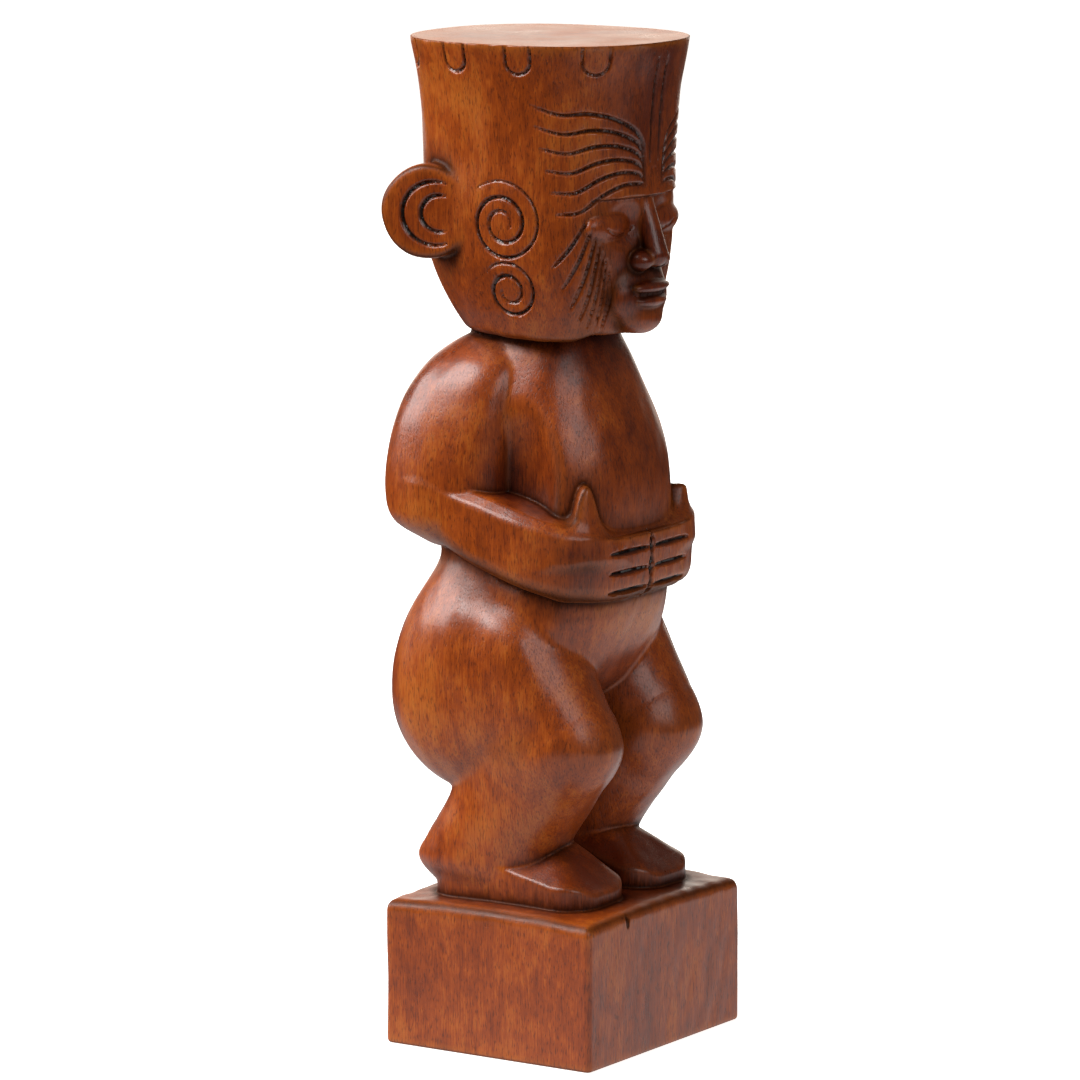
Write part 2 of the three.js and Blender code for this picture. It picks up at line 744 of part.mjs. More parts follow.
// Lines that fan from the brow over the temple, higher ones longer.
function browLines() {
  const lines = [];
  for (let i = 0; i < 6; i++) {
    const heights = [213.5 - 0.3 * i, 226 - 2.6 * i, 232 - 3.8 * i, 234.4 - 4.8 * i, 234.2 - 5.7 * i,
      237 - 6.4 * i];
    const sweep = (56 - 2.6 * i) / 4;
    const turn = (k) => (k === 0 ? 6.2 : 10.5 + sweep * (k - 1));
    lines.push(heights.map((height, k) => onFigure(radians(turn(k)), height)));
  }
  return lines;
}

// Lines that fan from beside the eye down over the cheek.
function cheekLines() {
  const lines = [];
  for (let i = 0; i < 6; i++) {
    const top = [40 - 2.4 * i, 203 - 2.4 * i];
    const foot = [55 - 5 * i, 169.5 + 20 * pow(1 - i / 5, 2.2)];
    const points = [];
    for (const t of [0, 0.35, 0.7, 1]) {
      const bow = 1.6 * sin(PI * t);
      points.push(onFigure(radians(mix(top[0], foot[0], t) - bow), mix(top[1], foot[1], t)));
    }
    lines.push(points);
  }
  return lines;
}

// Rounded tongues that hang from the rim of the flat top.
function tongue(centreAngle) {
  const half = 6;
  const turnHeight = 249.4;
  const startHeight = CROWN_TOP - 1.4;
  const points = [onFigure(radians(centreAngle - half), startHeight)];
  for (let i = 0; i <= 6; i++) {
    const bow = PI * i / 6;
    points.push(onFigure(radians(centreAngle - half * cos(bow)), turnHeight - 3.6 * sin(bow)));
  }
  points.push(onFigure(radians(centreAngle + half), startHeight));
  return points;
}

// Crescents cut in the ear's face, open to the front.
function crescent(y, height, radius, reach) {
  const points = [];
  for (let i = 0; i <= 8; i++) {
    const angle = radians(mix(-reach, reach, i / 8));
    points.push(onSide(1, y + radius * cos(angle), height + radius * sin(angle)));
  }
  return points;
}

// The cuts between the fingers of one hand.
function fingerCuts() {
  return [105.2, 99.2, 93.4].map((height) => (
    [2.6, 12, 21.5, 31].map((angle) => onFigure(radians(angle), height))
  ));
}

// All carved lines, each cut once on each side
function cutters() {
  const found = [];
  const bothSides = (points, [width, depth]) => {
    found.push(groove(points, width, depth), groove(mirrored(points), width, depth));
  };
  for (const spec of SPIRALS) {
    bothSides(spiral(spec), SPIRAL_LINE);
  }
  for (const line of [...browLines(), ...cheekLines()]) {
    bothSides(line, LINE);
  }
  bothSides(crescent(23, 203.6, 9.4, 112), EAR_LINE);
  bothSides(crescent(21.6, 203.6, 5.4, 112), EAR_LINE);
  for (let i = 0; i < 4; i++) {
    bothSides(tongue(37 + 34.5 * i), LINE);
  }
  found.push(groove(tongue(180), ...LINE));
  bothSides([250, 240, 230, 219].map((height) => onFigure(radians(3.6), height)), LINE);
  for (const line of fingerCuts()) {
    bothSides(line, FINGER_CUT);
  }
  found.push(groove([110.5, 103, 97, 90].map((height) => onFigure(0, height)), ...HANDS_CUT));
  return found;
}

// The statue's solid: meshed, thinned, cut flat above and below, and carved.
function buildStatue() {
  const reach = 49 * SHARE;
  const low = [-max(reach, PLINTH_WIDTH / 2 + 2 * CELL), -max(reach, PLINTH_DEPTH / 2 + 2 * CELL), -3 * CELL];
  const high = [-low[0], -low[1], STATUE_HEIGHT + 4 * CELL];
  const rough = surface(statue, low, high, CELL);
  settle(statue, rough.positions, 2);
  const smooth = simplify(rough, SMOOTH_TRIANGLES);
  let solid = solidOf(smooth.positions, smooth.triangles);
  for (const cutter of cutters()) {
    solid = solid.subtract(cutter);
  }
  const cut = solid.getMesh();
  const carved = simplify({ positions: Array.from(cut.vertProperties), triangles: Array.from(cut.triVerts) },
    CARVED_TRIANGLES);
  solid = solidOf(carved.positions, carved.triangles);
  solid = solid.subtract(slab(-20, 0)).subtract(slab(STATUE_HEIGHT, STATUE_HEIGHT + 20));
  const mesh = solid.getMesh();
  const geometry = new THREE.BufferGeometry();
  geometry.setAttribute("position", new THREE.BufferAttribute(mesh.vertProperties, 3));
  geometry.setIndex(new THREE.BufferAttribute(mesh.triVerts, 1));
  geometry.computeVertexNormals();
  return geometry;
}

const stainedWood = new THREE.MeshStandardMaterial({ color: 0x8a4a26, roughness: 0.42, metalness: 0 });
const tikiStatue = new THREE.Mesh(buildStatue(), stainedWood);
tikiStatue.name = "tiki_statue";

const statueGroup = new THREE.Group();
statueGroup.add(tikiStatue);

export default statueGroup;
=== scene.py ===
"""Tiki statue: the carved, stained and lacquered surface, with the studio and the camera.

The figure is drawn in millimetres with +Z up, its face towards -Y and its left towards +X.
Heights on the figure are counted from its soles, and Blender's own units are metres.
"""
import logging
import math
from dataclasses import dataclass, field
from enum import Enum

import bpy
import numpy as np
from mathutils import Matrix, Vector


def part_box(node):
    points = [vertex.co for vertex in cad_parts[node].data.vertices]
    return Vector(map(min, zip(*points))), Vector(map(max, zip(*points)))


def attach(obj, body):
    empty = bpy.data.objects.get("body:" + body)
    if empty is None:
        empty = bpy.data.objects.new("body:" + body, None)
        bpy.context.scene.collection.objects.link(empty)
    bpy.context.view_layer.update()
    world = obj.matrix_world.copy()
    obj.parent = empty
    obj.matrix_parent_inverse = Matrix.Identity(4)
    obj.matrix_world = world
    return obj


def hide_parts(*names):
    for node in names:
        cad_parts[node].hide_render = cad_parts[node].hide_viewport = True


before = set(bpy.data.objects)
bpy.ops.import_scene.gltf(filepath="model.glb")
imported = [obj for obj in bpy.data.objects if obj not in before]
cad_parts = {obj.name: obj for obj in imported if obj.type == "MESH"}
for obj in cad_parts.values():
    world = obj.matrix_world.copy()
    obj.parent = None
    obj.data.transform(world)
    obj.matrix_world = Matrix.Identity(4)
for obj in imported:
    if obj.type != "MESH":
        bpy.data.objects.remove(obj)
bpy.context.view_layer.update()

LOG = logging.getLogger("tiki_statue")
NODE = "tiki_statue"
MM = 0.001
FAR = 1e3

Array = np.ndarray
Triple = tuple[float, float, float]


def mix(a: Array, b: Array, t: Array) -> Array:
    """Returns the value a share t of the way from a to b."""
    return a + (b - a) * t


def ease(low: float, high: float, value: Array) -> Array:
    """Eases from 0 at one value to 1 at another.

    Args:
        low: The value that gives 0.
        high: The value that gives 1.
        value: The values to ease.

    Returns:
        Shares from 0 to 1.
    """
    t = np.clip((value - low) / (high - low), 0.0, 1.0)
    return t * t * (3.0 - 2.0 * t)


def join(a: Array, b: Array, width: Array | float) -> Array:
    """Takes the nearer of two distances and fills the corner between them.

    Args:
        a: The distances to one form, negative inside.
        b: The distances to the other form.
        width: How wide the corner is filled, in millimetres.

    Returns:
        The distances to the joined form.
    """
    h = np.maximum(width - np.abs(a - b), 0.0) / width
    return np.minimum(a, b) - h * h * width / 4.0


def trim(a: Array, b: Array, width: Array | float) -> Array:
    """Takes the farther of two distances and rounds the corner between them.

    Args:
        a: The distances to one form, negative inside.
        b: The distances to the other form.
        width: How wide the corner is rounded, in millimetres.

    Returns:
        The distances to what the two forms share.
    """
    return -join(-a, -b, width)


@dataclass
class Points:
    """Points in millimetres, as three arrays of one length."""

    x: Array
    y: Array
    z: Array

    def pick(self, chosen: Array) -> "Points":
        """Returns the chosen points."""
        return Points(self.x[chosen], self.y[chosen], self.z[chosen])

    def moved(self, x: Array | float, y: Array | float, z: Array | float) -> "Points":
        """Returns the points moved by the given amounts."""
        return Points(self.x + x, self.y + y, self.z + z)

    def table(self) -> Array:
        """Returns the points as rows."""
        return np.stack([self.x, self.y, self.z], axis=1)


@dataclass(frozen=True)
class Ellipsoid:
    """An egg-like form with its axes along X, Y and Z."""

    centre: Triple
    radii: Triple

    def distance(self, p: Points) -> Array:
        """Measures the distances from points to the form.

        Args:
            p: The points.

        Returns:
            The distances, negative inside.
        """
        dx = (p.x - self.centre[0]) / self.radii[0]
        dy = (p.y - self.centre[1]) / self.radii[1]
        dz = (p.z - self.centre[2]) / self.radii[2]
        k0 = np.sqrt(dx * dx + dy * dy + dz * dz)
        k1 = np.sqrt((dx / self.radii[0]) ** 2 + (dy / self.radii[1]) ** 2 + (dz / self.radii[2]) ** 2)
        return k0 * (k0 - 1.0) / np.maximum(k1, 1e-9)


@dataclass(frozen=True)
class Limb:
    """A round limb that tapers from one end to the other."""

    start: Triple
    end: Triple
    start_radius: float
    end_radius: float

    def distance(self, p: Points) -> Array:
        """Measures the distances from points to the limb.

        Args:
            p: The points.

        Returns:
            The distances, negative inside.
        """
        start = np.array(self.start)
        along = np.array(self.end) - start
        away = p.table() - start
        t = np.clip(away @ along / (along @ along), 0.0, 1.0)
        off = np.linalg.norm(away - t[:, None] * along, axis=1)
        return off - mix(self.start_radius, self.end_radius, t)


def oval(p: Points, middle: Array | float, half_width: Array | float, front: Array | float,
         back: Array | float, power: float) -> Array:
    """Measures the distances to an upright form whose plan is a squared oval.

    Args:
        p: The points.
        middle: Where the oval's middle lies along X.
        half_width: Half its width along X.
        front: Where its front lies along Y.
        back: Where its back lies along Y.
        power: How full its corners are, from 2 for an ellipse.

    Returns:
        The distances, negative inside.
    """
    centre = (front + back) / 2.0
    half_depth = (back - front) / 2.0
    dx = np.abs(p.x - middle)
    dy = np.abs(p.y - centre)
    q = np.power(np.power(dx / half_width, power) + np.power(dy / half_depth, power), 1.0 / power)
    q = np.maximum(q, 1e-6)
    return (q - 1.0) * np.hypot(dx, dy) / q * 0.95


@dataclass(frozen=True)
class Sections:
    """A smooth run of sections: each row has a height and then the section's sizes there."""

    rows: tuple[tuple[float, ...], ...]

    def at(self, height: Array) -> list[Array]:
        """Works out the sections' sizes at heights.

        Args:
            height: The heights above the soles.

        Returns:
            One array for each size that a row gives.
        """
        table = np.array(self.rows)
        last = len(table) - 1
        i = np.clip(np.searchsorted(table[:, 0], height, side="left") - 1, 0, last - 1)
        before = table[np.maximum(i - 1, 0)]
        low = table[i]
        high = table[i + 1]
        after = table[np.minimum(i + 2, last)]
        span = high[:, :1] - low[:, :1]
        t = np.clip((height[:, None] - low[:, :1]) / span, 0.0, 1.0)
        leaving = (high - before) / (high[:, :1] - before[:, :1]) * span
        arriving = (after - low) / (after[:, :1] - low[:, :1]) * span
        bend = t * t * (3.0 - 2.0 * t)
        sizes = mix(low, high, bend) + leaving * t * (1.0 - t) ** 2 - arriving * t * t * (1.0 - t)
        return [sizes[:, k] for k in range(1, table.shape[1])]


@dataclass(frozen=True)
class Head:
    """The head: a tall squared oval that widens to a flat top and overhangs the chest."""

    chin: float = 166.0
    crown: float = 256.0
    fullness: float = 2.4
    sections: Sections = Sections((
        (160, 24, -24, 22), (167, 25.5, -27, 27), (176, 28.6, -29, 33.5), (190, 31.3, -31.2, 40),
        (205, 32.5, -31.7, 41.6), (222, 32.8, -31.8, 41.8), (240, 34.2, -33.2, 42.8),
        (256, 36.9, -35.9, 45.5)))

    def distance(self, p: Points) -> Array:
        """Measures the distances from points to the head's block.

        Args:
            p: The points.

        Returns:
            The distances, negative inside.
        """
        half_width, front, back = self.sections.at(p.z)
        side = oval(p, 0.0, half_width, front, back, self.fullness)
        chin = self.chin + 1.6 * ease(-26.0, 14.0, p.y)
        return trim(trim(side, chin - p.z, 2.5), p.z - self.crown, 0.6)


@dataclass(frozen=True)
class Face:
    """The face: sockets under a straight brow, closed lids, nose, lips and chin in even thirds."""

    brow: float = 209.2
    inset: float = 2.4
    socket: Ellipsoid = Ellipsoid((12.8, -38.0, 200.8), (14.8, 12.4, 11.6))
    lid: Ellipsoid = Ellipsoid((13.4, -23.8, 201.0), (10.8, 3.9, 5.2))
    bridge: Limb = Limb((0.0, -27.2, 208.0), (0.0, -32.2, 191.8), 3.0, 3.7)
    wing: Ellipsoid = Ellipsoid((5.0, -29.6, 190.3), (3.4, 4.0, 3.0))
    nostril: Ellipsoid = Ellipsoid((3.4, -32.4, 187.3), (1.6, 2.1, 1.4))
    muzzle: Ellipsoid = Ellipsoid((0.0, -26.4, 179.6), (13.0, 5.3, 9.2))
    groove: Ellipsoid = Ellipsoid((0.0, -33.0, 185.7), (1.1, 2.0, 2.3))
    upper_lip: Ellipsoid = Ellipsoid((0.0, -30.6, 182.3), (9.2, 2.9, 2.0))
    lower_lip: Ellipsoid = Ellipsoid((0.0, -30.2, 178.2), (8.0, 3.1, 2.1))
    chin: Ellipsoid = Ellipsoid((0.0, -27.2, 172.4), (8.0, 4.4, 4.0))

    def carve(self, p: Points, head: Array) -> Array:
        """Carves the face into the head.

        Args:
            p: The points.
            head: The distances from the points to the uncarved head.

        Returns:
            The distances to the carved head.
        """
        front = (1.0 - ease(13.0, 24.0, p.x)) * (1.0 - ease(-14.0, 0.0, p.y))
        below = 1.0 - ease(self.brow - 0.5, self.brow + 0.5, p.z)
        socket = trim(self.socket.distance(p), p.z - self.brow, 0.8)
        d = trim(head + self.inset * front * below, -socket, 1.0)
        d = join(d, self.lid.distance(p), 0.6)
        nose = join(self.bridge.distance(p), self.wing.distance(p), 1.6)
        d = join(d, self.muzzle.distance(p), 3.0)
        d = trim(join(d, nose, 1.2), -self.nostril.distance(p), 0.5)
        d = trim(d, -self.groove.distance(p), 1.0)
        d = join(d, self.upper_lip.distance(p), 0.8)
        d = join(d, self.lower_lip.distance(p), 0.8)
        return join(d, self.chin.distance(p), 3.0)


@dataclass(frozen=True)
class Ear:
    """The ear: a thick disc that stands out at the back corner of the head."""

    centre: Triple = (31.6, 26.6, 204.0)
    radius: float = 14.0
    half_thickness: float = 3.4
    turn: float = 0.32

    def distance(self, p: Points) -> Array:
        """Measures the distances from points to the ear.

        Args:
            p: The points.

        Returns:
            The distances, negative inside.
        """
        dx = p.x - self.centre[0]
        dy = p.y - self.centre[1]
        cos, sin = math.cos(self.turn), math.sin(self.turn)
        across = np.abs(dx * cos - dy * sin) - self.half_thickness
        along = dx * sin + dy * cos
        return trim(np.hypot(along, p.z - self.centre[2]) - self.radius, across, 2.5)


@dataclass(frozen=True)
class Torso:
    """The trunk, with a hollow between the ribs and the arm and a line down the spine."""

    lowest: float = 56.0
    highest: float = 169.0
    hollow: Ellipsoid = Ellipsoid((37.5, -5.0, 127.0), (12.8, 15.8, 32.0))
    spine: Limb = Limb((0.0, 40.5, 84.0), (0.0, 38.5, 148.0), 4.4, 3.6)
    sections: Sections = Sections((
        (46, 24, -6, 26), (56, 28, -10, 31), (65, 34, -17.5, 34), (79, 36.2, -24, 36),
        (91, 34.4, -27, 34.2), (100, 32.6, -27.8, 33.4), (110, 33.4, -28.6, 36), (127, 32.6, -28.4, 37.5),
        (139, 31.2, -25.4, 36.5),
        (151, 27.5, -20.5, 34), (160, 24, -17, 31), (168, 20, -13, 26)))

    def distance(self, p: Points) -> Array:
        """Measures the distances from points to the trunk.

        Args:
            p: The points.

        Returns:
            The distances, negative inside.
        """
        half_width, front, back = self.sections.at(np.clip(p.z, 46.0, 168.0))
        d = oval(p, 0.0, half_width, front, back, 2.6)
        d = trim(d, p.z - self.highest, 3.0)
        d = trim(d, self.lowest - p.z, 8.0)
        d = trim(d, -self.hollow.distance(p), 3.0)
        return trim(d, -self.spine.distance(p), 5.0)


@dataclass(frozen=True)
class Arm:
    """The arm: upper arm, forearm with its hand on the belly, and the thumb."""

    sections: Sections = Sections((
        (101, 20, 6, 16, 26), (105.5, 24, 9.5, 10, 32), (111.5, 27.4, 12.4, 4.6, 39.6),
        (118, 28, 13, 3, 42.4), (132, 27.4, 13, 2.6, 42.2), (147, 24.4, 12.4, 1.5, 39),
        (159, 19.6, 10.6, 1.5, 32.6), (168, 13, 6, 8, 22)))
    band_half_width: float = 40.8
    band_front: float = -31.4
    band_back: float = 44.0
    thumb_tips: tuple[float, float] = (126.0, 120.4)

    def upper(self, p: Points) -> Array:
        """Measures the distances from points to the upper arm.

        Args:
            p: The points.

        Returns:
            The distances, negative inside.
        """
        middle, half_width, front, back = self.sections.at(np.clip(p.z, 101.0, 168.0))
        d = oval(p, middle, half_width, front, back, 2.2)
        return trim(trim(d, p.z - 167.5, 3.0), 104.0 - p.z, 7.0)

    def band(self, p: Points) -> Array:
        """Returns the distances to the outside of the band that both forearms make."""
        return oval(p, 0.0, self.band_half_width, self.band_front, self.band_back, 3.3)

    def forearm(self, p: Points) -> Array:
        """Measures the distances to the forearm and hand, with a bevel along the upper edge.

        Args:
            p: The points.

        Returns:
            The distances, negative inside.
        """
        side = self.band(p)
        edge = mix(109.6, 123.2, np.power(np.clip((p.y + 33.0) / 52.0, 0.0, 1.0), 1.15))
        ledge = mix(109.8, 124.4, np.power(np.clip((p.y + 29.5) / 42.0, 0.0, 1.0), 0.72))
        slope = mix(0.05, 1.15, ease(-30.0, -20.0, p.y)) * (1.0 - 0.6 * ease(4.0, 20.0, p.y))
        underside = mix(88.6, 107.5, ease(-40.0, 40.0, p.y))
        below = mix(6.5, 17.0, ease(6.0, 30.0, p.y))
        d = trim(side + 0.06 * np.maximum(0.0, 104.0 - p.z), underside - p.z, below)
        d = trim(d, (p.z - edge + slope * side) / np.hypot(1.0, slope), 1.0)
        d = trim(d, p.z - ledge, 0.8)
        return trim(d, p.y - 33.0, 12.0)

    def thumb(self, p: Points, tip: Array) -> Array:
        """Measures the distances to the thumb, a flame-shaped point against the belly.

        Args:
            p: The points.
            tip: The height of the thumb's tip at each point.

        Returns:
            The distances, negative inside.
        """
        across = np.abs((p.x - 25.0) * 0.76 + (p.y + 24.0) * 0.65)
        below = np.maximum(tip - p.z, 0.0)
        half_width = 1.3 * np.sqrt(below + 0.1) + 0.02 * np.maximum(0.0, below - 7.0) ** 2
        face = self.band(p) + 0.5 + 0.12 * across + 0.11 * (p.z - 108.0)
        d = trim((across - half_width) * 0.9, face, 2.2)
        return trim(trim(d, p.z - tip, 1.6), 104.0 - p.z, 2.0)


@dataclass(frozen=True)
class Leg:
    """Buttock, thigh and lower leg, with a web of uncut wood between the legs, and the foot."""

    reach: float = 41.4
    hip: Ellipsoid = Ellipsoid((19.8, 16.2, 59.5), (21.5, 29.0, 39.0))
    hip_drop: float = 29.6
    thigh: Limb = Limb((22.5, 2.0, 70.0), (22.4, -15.4, 49.5), 20.4, 15.6)
    sections: Sections = Sections((
        (-1, 17.5, 13.5, -8, 27), (8.5, 18.4, 15.9, -10.5, 36.5), (16, 19.2, 15.6, -12.8, 33),
        (30, 20.4, 15.2, -22.4, 24), (46, 21.4, 15.6, -31.5, 20), (54, 21.4, 15, -30.5, 14)))

    def distance(self, p: Points) -> Array:
        """Measures the distances from points to the leg.

        Args:
            p: The points.

        Returns:
            The distances, negative inside.
        """
        middle, half_width, front, back = self.sections.at(np.clip(p.z, -1.0, 54.0))
        shin = trim(oval(p, middle, half_width, front, back, 2.3), p.z - 51.0, 12.0)
        waist = self.hip.centre[2]
        lower = waist + (p.z - waist) * self.hip.radii[2] / self.hip_drop
        hip = self.hip.distance(Points(p.x, p.y, np.where(p.z < waist, lower, p.z)))
        upper = trim(join(hip, self.thigh.distance(p), 12.0), p.x - self.reach, 5.0)
        web = np.maximum(np.maximum(p.x - 9.0, np.abs(p.y - 12.0) - 10.0), p.z - 60.0)
        fold = mix(7.0, 1.8, ease(-8.0, 8.0, p.y))
        return join(join(upper, shin, fold), web, 3.0)

    def foot(self, p: Points) -> Array:
        """Measures the distances to the foot, a slab whose top falls away to toes and sides.

        Args:
            p: The points.

        Returns:
            The distances, negative inside.
        """
        corner = 11.0
        dx = np.abs(p.x - 17.8) - 15.4 + corner
        dy = np.abs(p.y - 0.65) - 27.85 + corner
        outline = np.minimum(np.maximum(dx, dy), 0.0) - corner
        outline += np.hypot(np.maximum(dx, 0.0), np.maximum(dy, 0.0))
        outer = (p.z - 5.4 - 0.22 * (p.y + 21.3) - 0.75 * (33.0 - p.x)) / 1.27
        toes = (p.z - 5.0 - 0.86 * (p.y + 25.4)) / 1.32
        inner = (p.z - 5.2 - 0.35 * (p.y + 22.0) - 0.9 * (p.x - 3.0)) / 1.38
        return trim(outline, trim(trim(outer, toes, 3.0), inner, 3.0), 0.8)


@dataclass(frozen=True)
class Figure:
    """The whole figure, with heights above its soles. Its two sides are alike."""

    head: Head = Head()
    face: Face = Face()
    ear: Ear = Ear()
    torso: Torso = Torso()
    arm: Arm = Arm()
    leg: Leg = Leg()
    axis_y: float = 5.0

    def distance(self, p: Points) -> Array:
        """Measures the distances from points to the figure.

        Args:
            p: The points, with heights above the soles.

        Returns:
            The distances, negative inside.
        """
        tips = np.where(p.x < 0.0, *self.arm.thumb_tips)
        p = Points(np.abs(p.x), p.y, p.z)
        d = np.full(len(p.x), FAR)
        low = p.z < 176.0
        d[low] = self._below_head(p.pick(low), tips[low])
        high = p.z > 156.0
        top = p.pick(high)
        carved = join(self.face.carve(top, self.head.distance(top)), self.ear.distance(top), 1.6)
        d[high] = join(d[high], carved, 1.2)
        return d

    def _below_head(self, p: Points, tips: Array) -> Array:
        """Measures the distances to all that lies below the head.

        Args:
            p: The points, on the figure's left side.
            tips: The height of the thumb's tip at each point.

        Returns:
            The distances, negative inside.
        """
        trunk = self.torso.distance(p)
        arm = self.arm.upper(p)
        d = join(trunk, arm, 1.6)
        near = (p.z > 76.0) & (p.z < 140.0)
        q = p.pick(near)
        band = join(self.arm.forearm(q), self.arm.thumb(q, tips[near]), 4.0)
        elbow = mix(0.8, 5.0, ease(15.0, 27.0, q.y))
        d[near] = np.minimum(d[near], join(trunk[near], band, 0.8))
        d[near] = np.minimum(d[near], join(arm[near], band, elbow))
        near = p.z < 110.0
        q = p.pick(near)
        d[near] = join(d[near], self.leg.distance(q), mix(1.8, 9.0, ease(0.0, 16.0, q.y)))
        near = p.z < 40.0
        d[near] = join(d[near], self.leg.foot(p.pick(near)), 0.8)
        return d

    def place(self, angles: Array, heights: Array) -> Array:
        """Finds points of the surface by an angle round the head's axis and a height.

        Args:
            angles: The angles from straight ahead, in degrees, towards the figure's left.
            heights: The heights above the soles.

        Returns:
            The surface points, as rows.
        """
        turn = np.radians(angles)
        far = np.full(len(turn), 60.0)
        for _ in range(60):
            at = Points(np.sin(turn) * far, self.axis_y - np.cos(turn) * far, heights)
            far -= 0.7 * self.distance(at)
        return np.stack([np.sin(turn) * far, self.axis_y - np.cos(turn) * far, heights], axis=1)

    def side_place(self, ys: Array, heights: Array) -> Array:
        """Finds points of the surface on the figure's left side, straight in from the side.

        Args:
            ys: Where the points lie along Y.
            heights: The heights above the soles.

        Returns:
            The surface points, as rows.
        """
        x = np.full(len(ys), 60.0)
        for _ in range(80):
            x -= 0.7 * self.distance(Points(x, ys, heights))
        return np.stack([x, ys, heights], axis=1)


@dataclass(frozen=True)
class Plinth:
    """The plinth: a block with worn edges and a top that swells a little to the middle."""

    width: float = 84.0
    depth: float = 72.8
    height: float = 43.6
    crown: float = 2.4
    edge: float = 1.9
    corner: float = 2.0
    nick: Ellipsoid = Ellipsoid((-21.0, -36.6, 42.2), (0.9, 1.4, 2.6))

    def distance(self, p: Points) -> Array:
        """Measures the distances from points to the plinth.

        Args:
            p: The points, with heights above the underside.

        Returns:
            The distances, negative inside.
        """
        fall = (2.0 * p.x / self.width) ** 2 + (2.0 * p.y / self.depth) ** 2
        top = self.height + self.crown * (1.0 - fall / 2.0)
        dx = np.abs(p.x) - self.width / 2.0 + self.corner
        dy = np.abs(p.y) - self.depth / 2.0 + self.corner
        side = np.minimum(np.maximum(dx, dy), 0.0) - self.corner
        side += np.hypot(np.maximum(dx, 0.0), np.maximum(dy, 0.0))
        block = trim(side, p.z - top, 2.0 * self.edge)
        return trim(block, -self.nick.distance(p), 0.6)


@dataclass
class Groove:
    """A V-shaped cut along points of the surface, running out at its closed ends."""

    points: Array
    width: float
    depth: float
    run_out: float = 0.35

    def cut(self, p: Points, normal: Array) -> tuple[Array, Array, Array]:
        """Works out how deep the cut is at points near it.

        Args:
            p: The points, on the figure's left side, with heights above the soles.
            normal: The outward directions of the uncut surface, as rows.

        Returns:
            The places of the points that the cut may reach, and its depth and slope at each.
        """
        margin = self.width / 2.0 + 0.8
        low = self.points.min(axis=0) - margin
        high = self.points.max(axis=0) + margin
        where = np.flatnonzero((p.z > low[2]) & (p.z < high[2]))
        near = (p.x[where] > low[0]) & (p.x[where] < high[0])
        near &= (p.y[where] > low[1]) & (p.y[where] < high[1])
        where = where[near]
        if not len(where):
            return where, np.zeros(0), np.zeros((0, 3))
        q = np.stack([p.x[where], p.y[where], p.z[where]], axis=1)
        start = self.points[:-1]
        along = self.points[1:] - start
        length = np.maximum((along ** 2).sum(axis=1), 1e-9)
        reach = (q @ along.T - (start * along).sum(axis=1)) / length
        t = np.clip(reach, 0.0, 1.0)
        squares = (start * start).sum(axis=1) - 2.0 * (q @ start.T) + t * (t - 2.0 * reach) * length
        nearest = squares.argmin(axis=1)
        t = t[np.arange(len(q)), nearest]
        away = q - start[nearest] - t[:, None] * along[nearest]
        n = normal[where]
        rise = (away * n).sum(axis=1)
        away -= n * rise[:, None]
        across = np.sqrt((away ** 2).sum(axis=1) + 0.0036)
        share = (nearest + t) / len(start)
        swell = mix(self.run_out, 1.0, np.power(np.sin(np.pi * np.clip(share, 0.001, 0.999)), 0.4))
        steep = self.depth / (self.width / 2.0)
        deep = np.where(np.abs(rise) < self.depth + 1.0, self.depth * swell - steep * across, -1.0)
        return where, deep, -steep * away / across[:, None]


@dataclass
class Line:
    """A carved line before it is laid on the surface: two values along it, and its cut."""

    first: Array
    heights: Array
    width: float
    depth: float
    from_side: bool = False
    run_out: float = 0.35


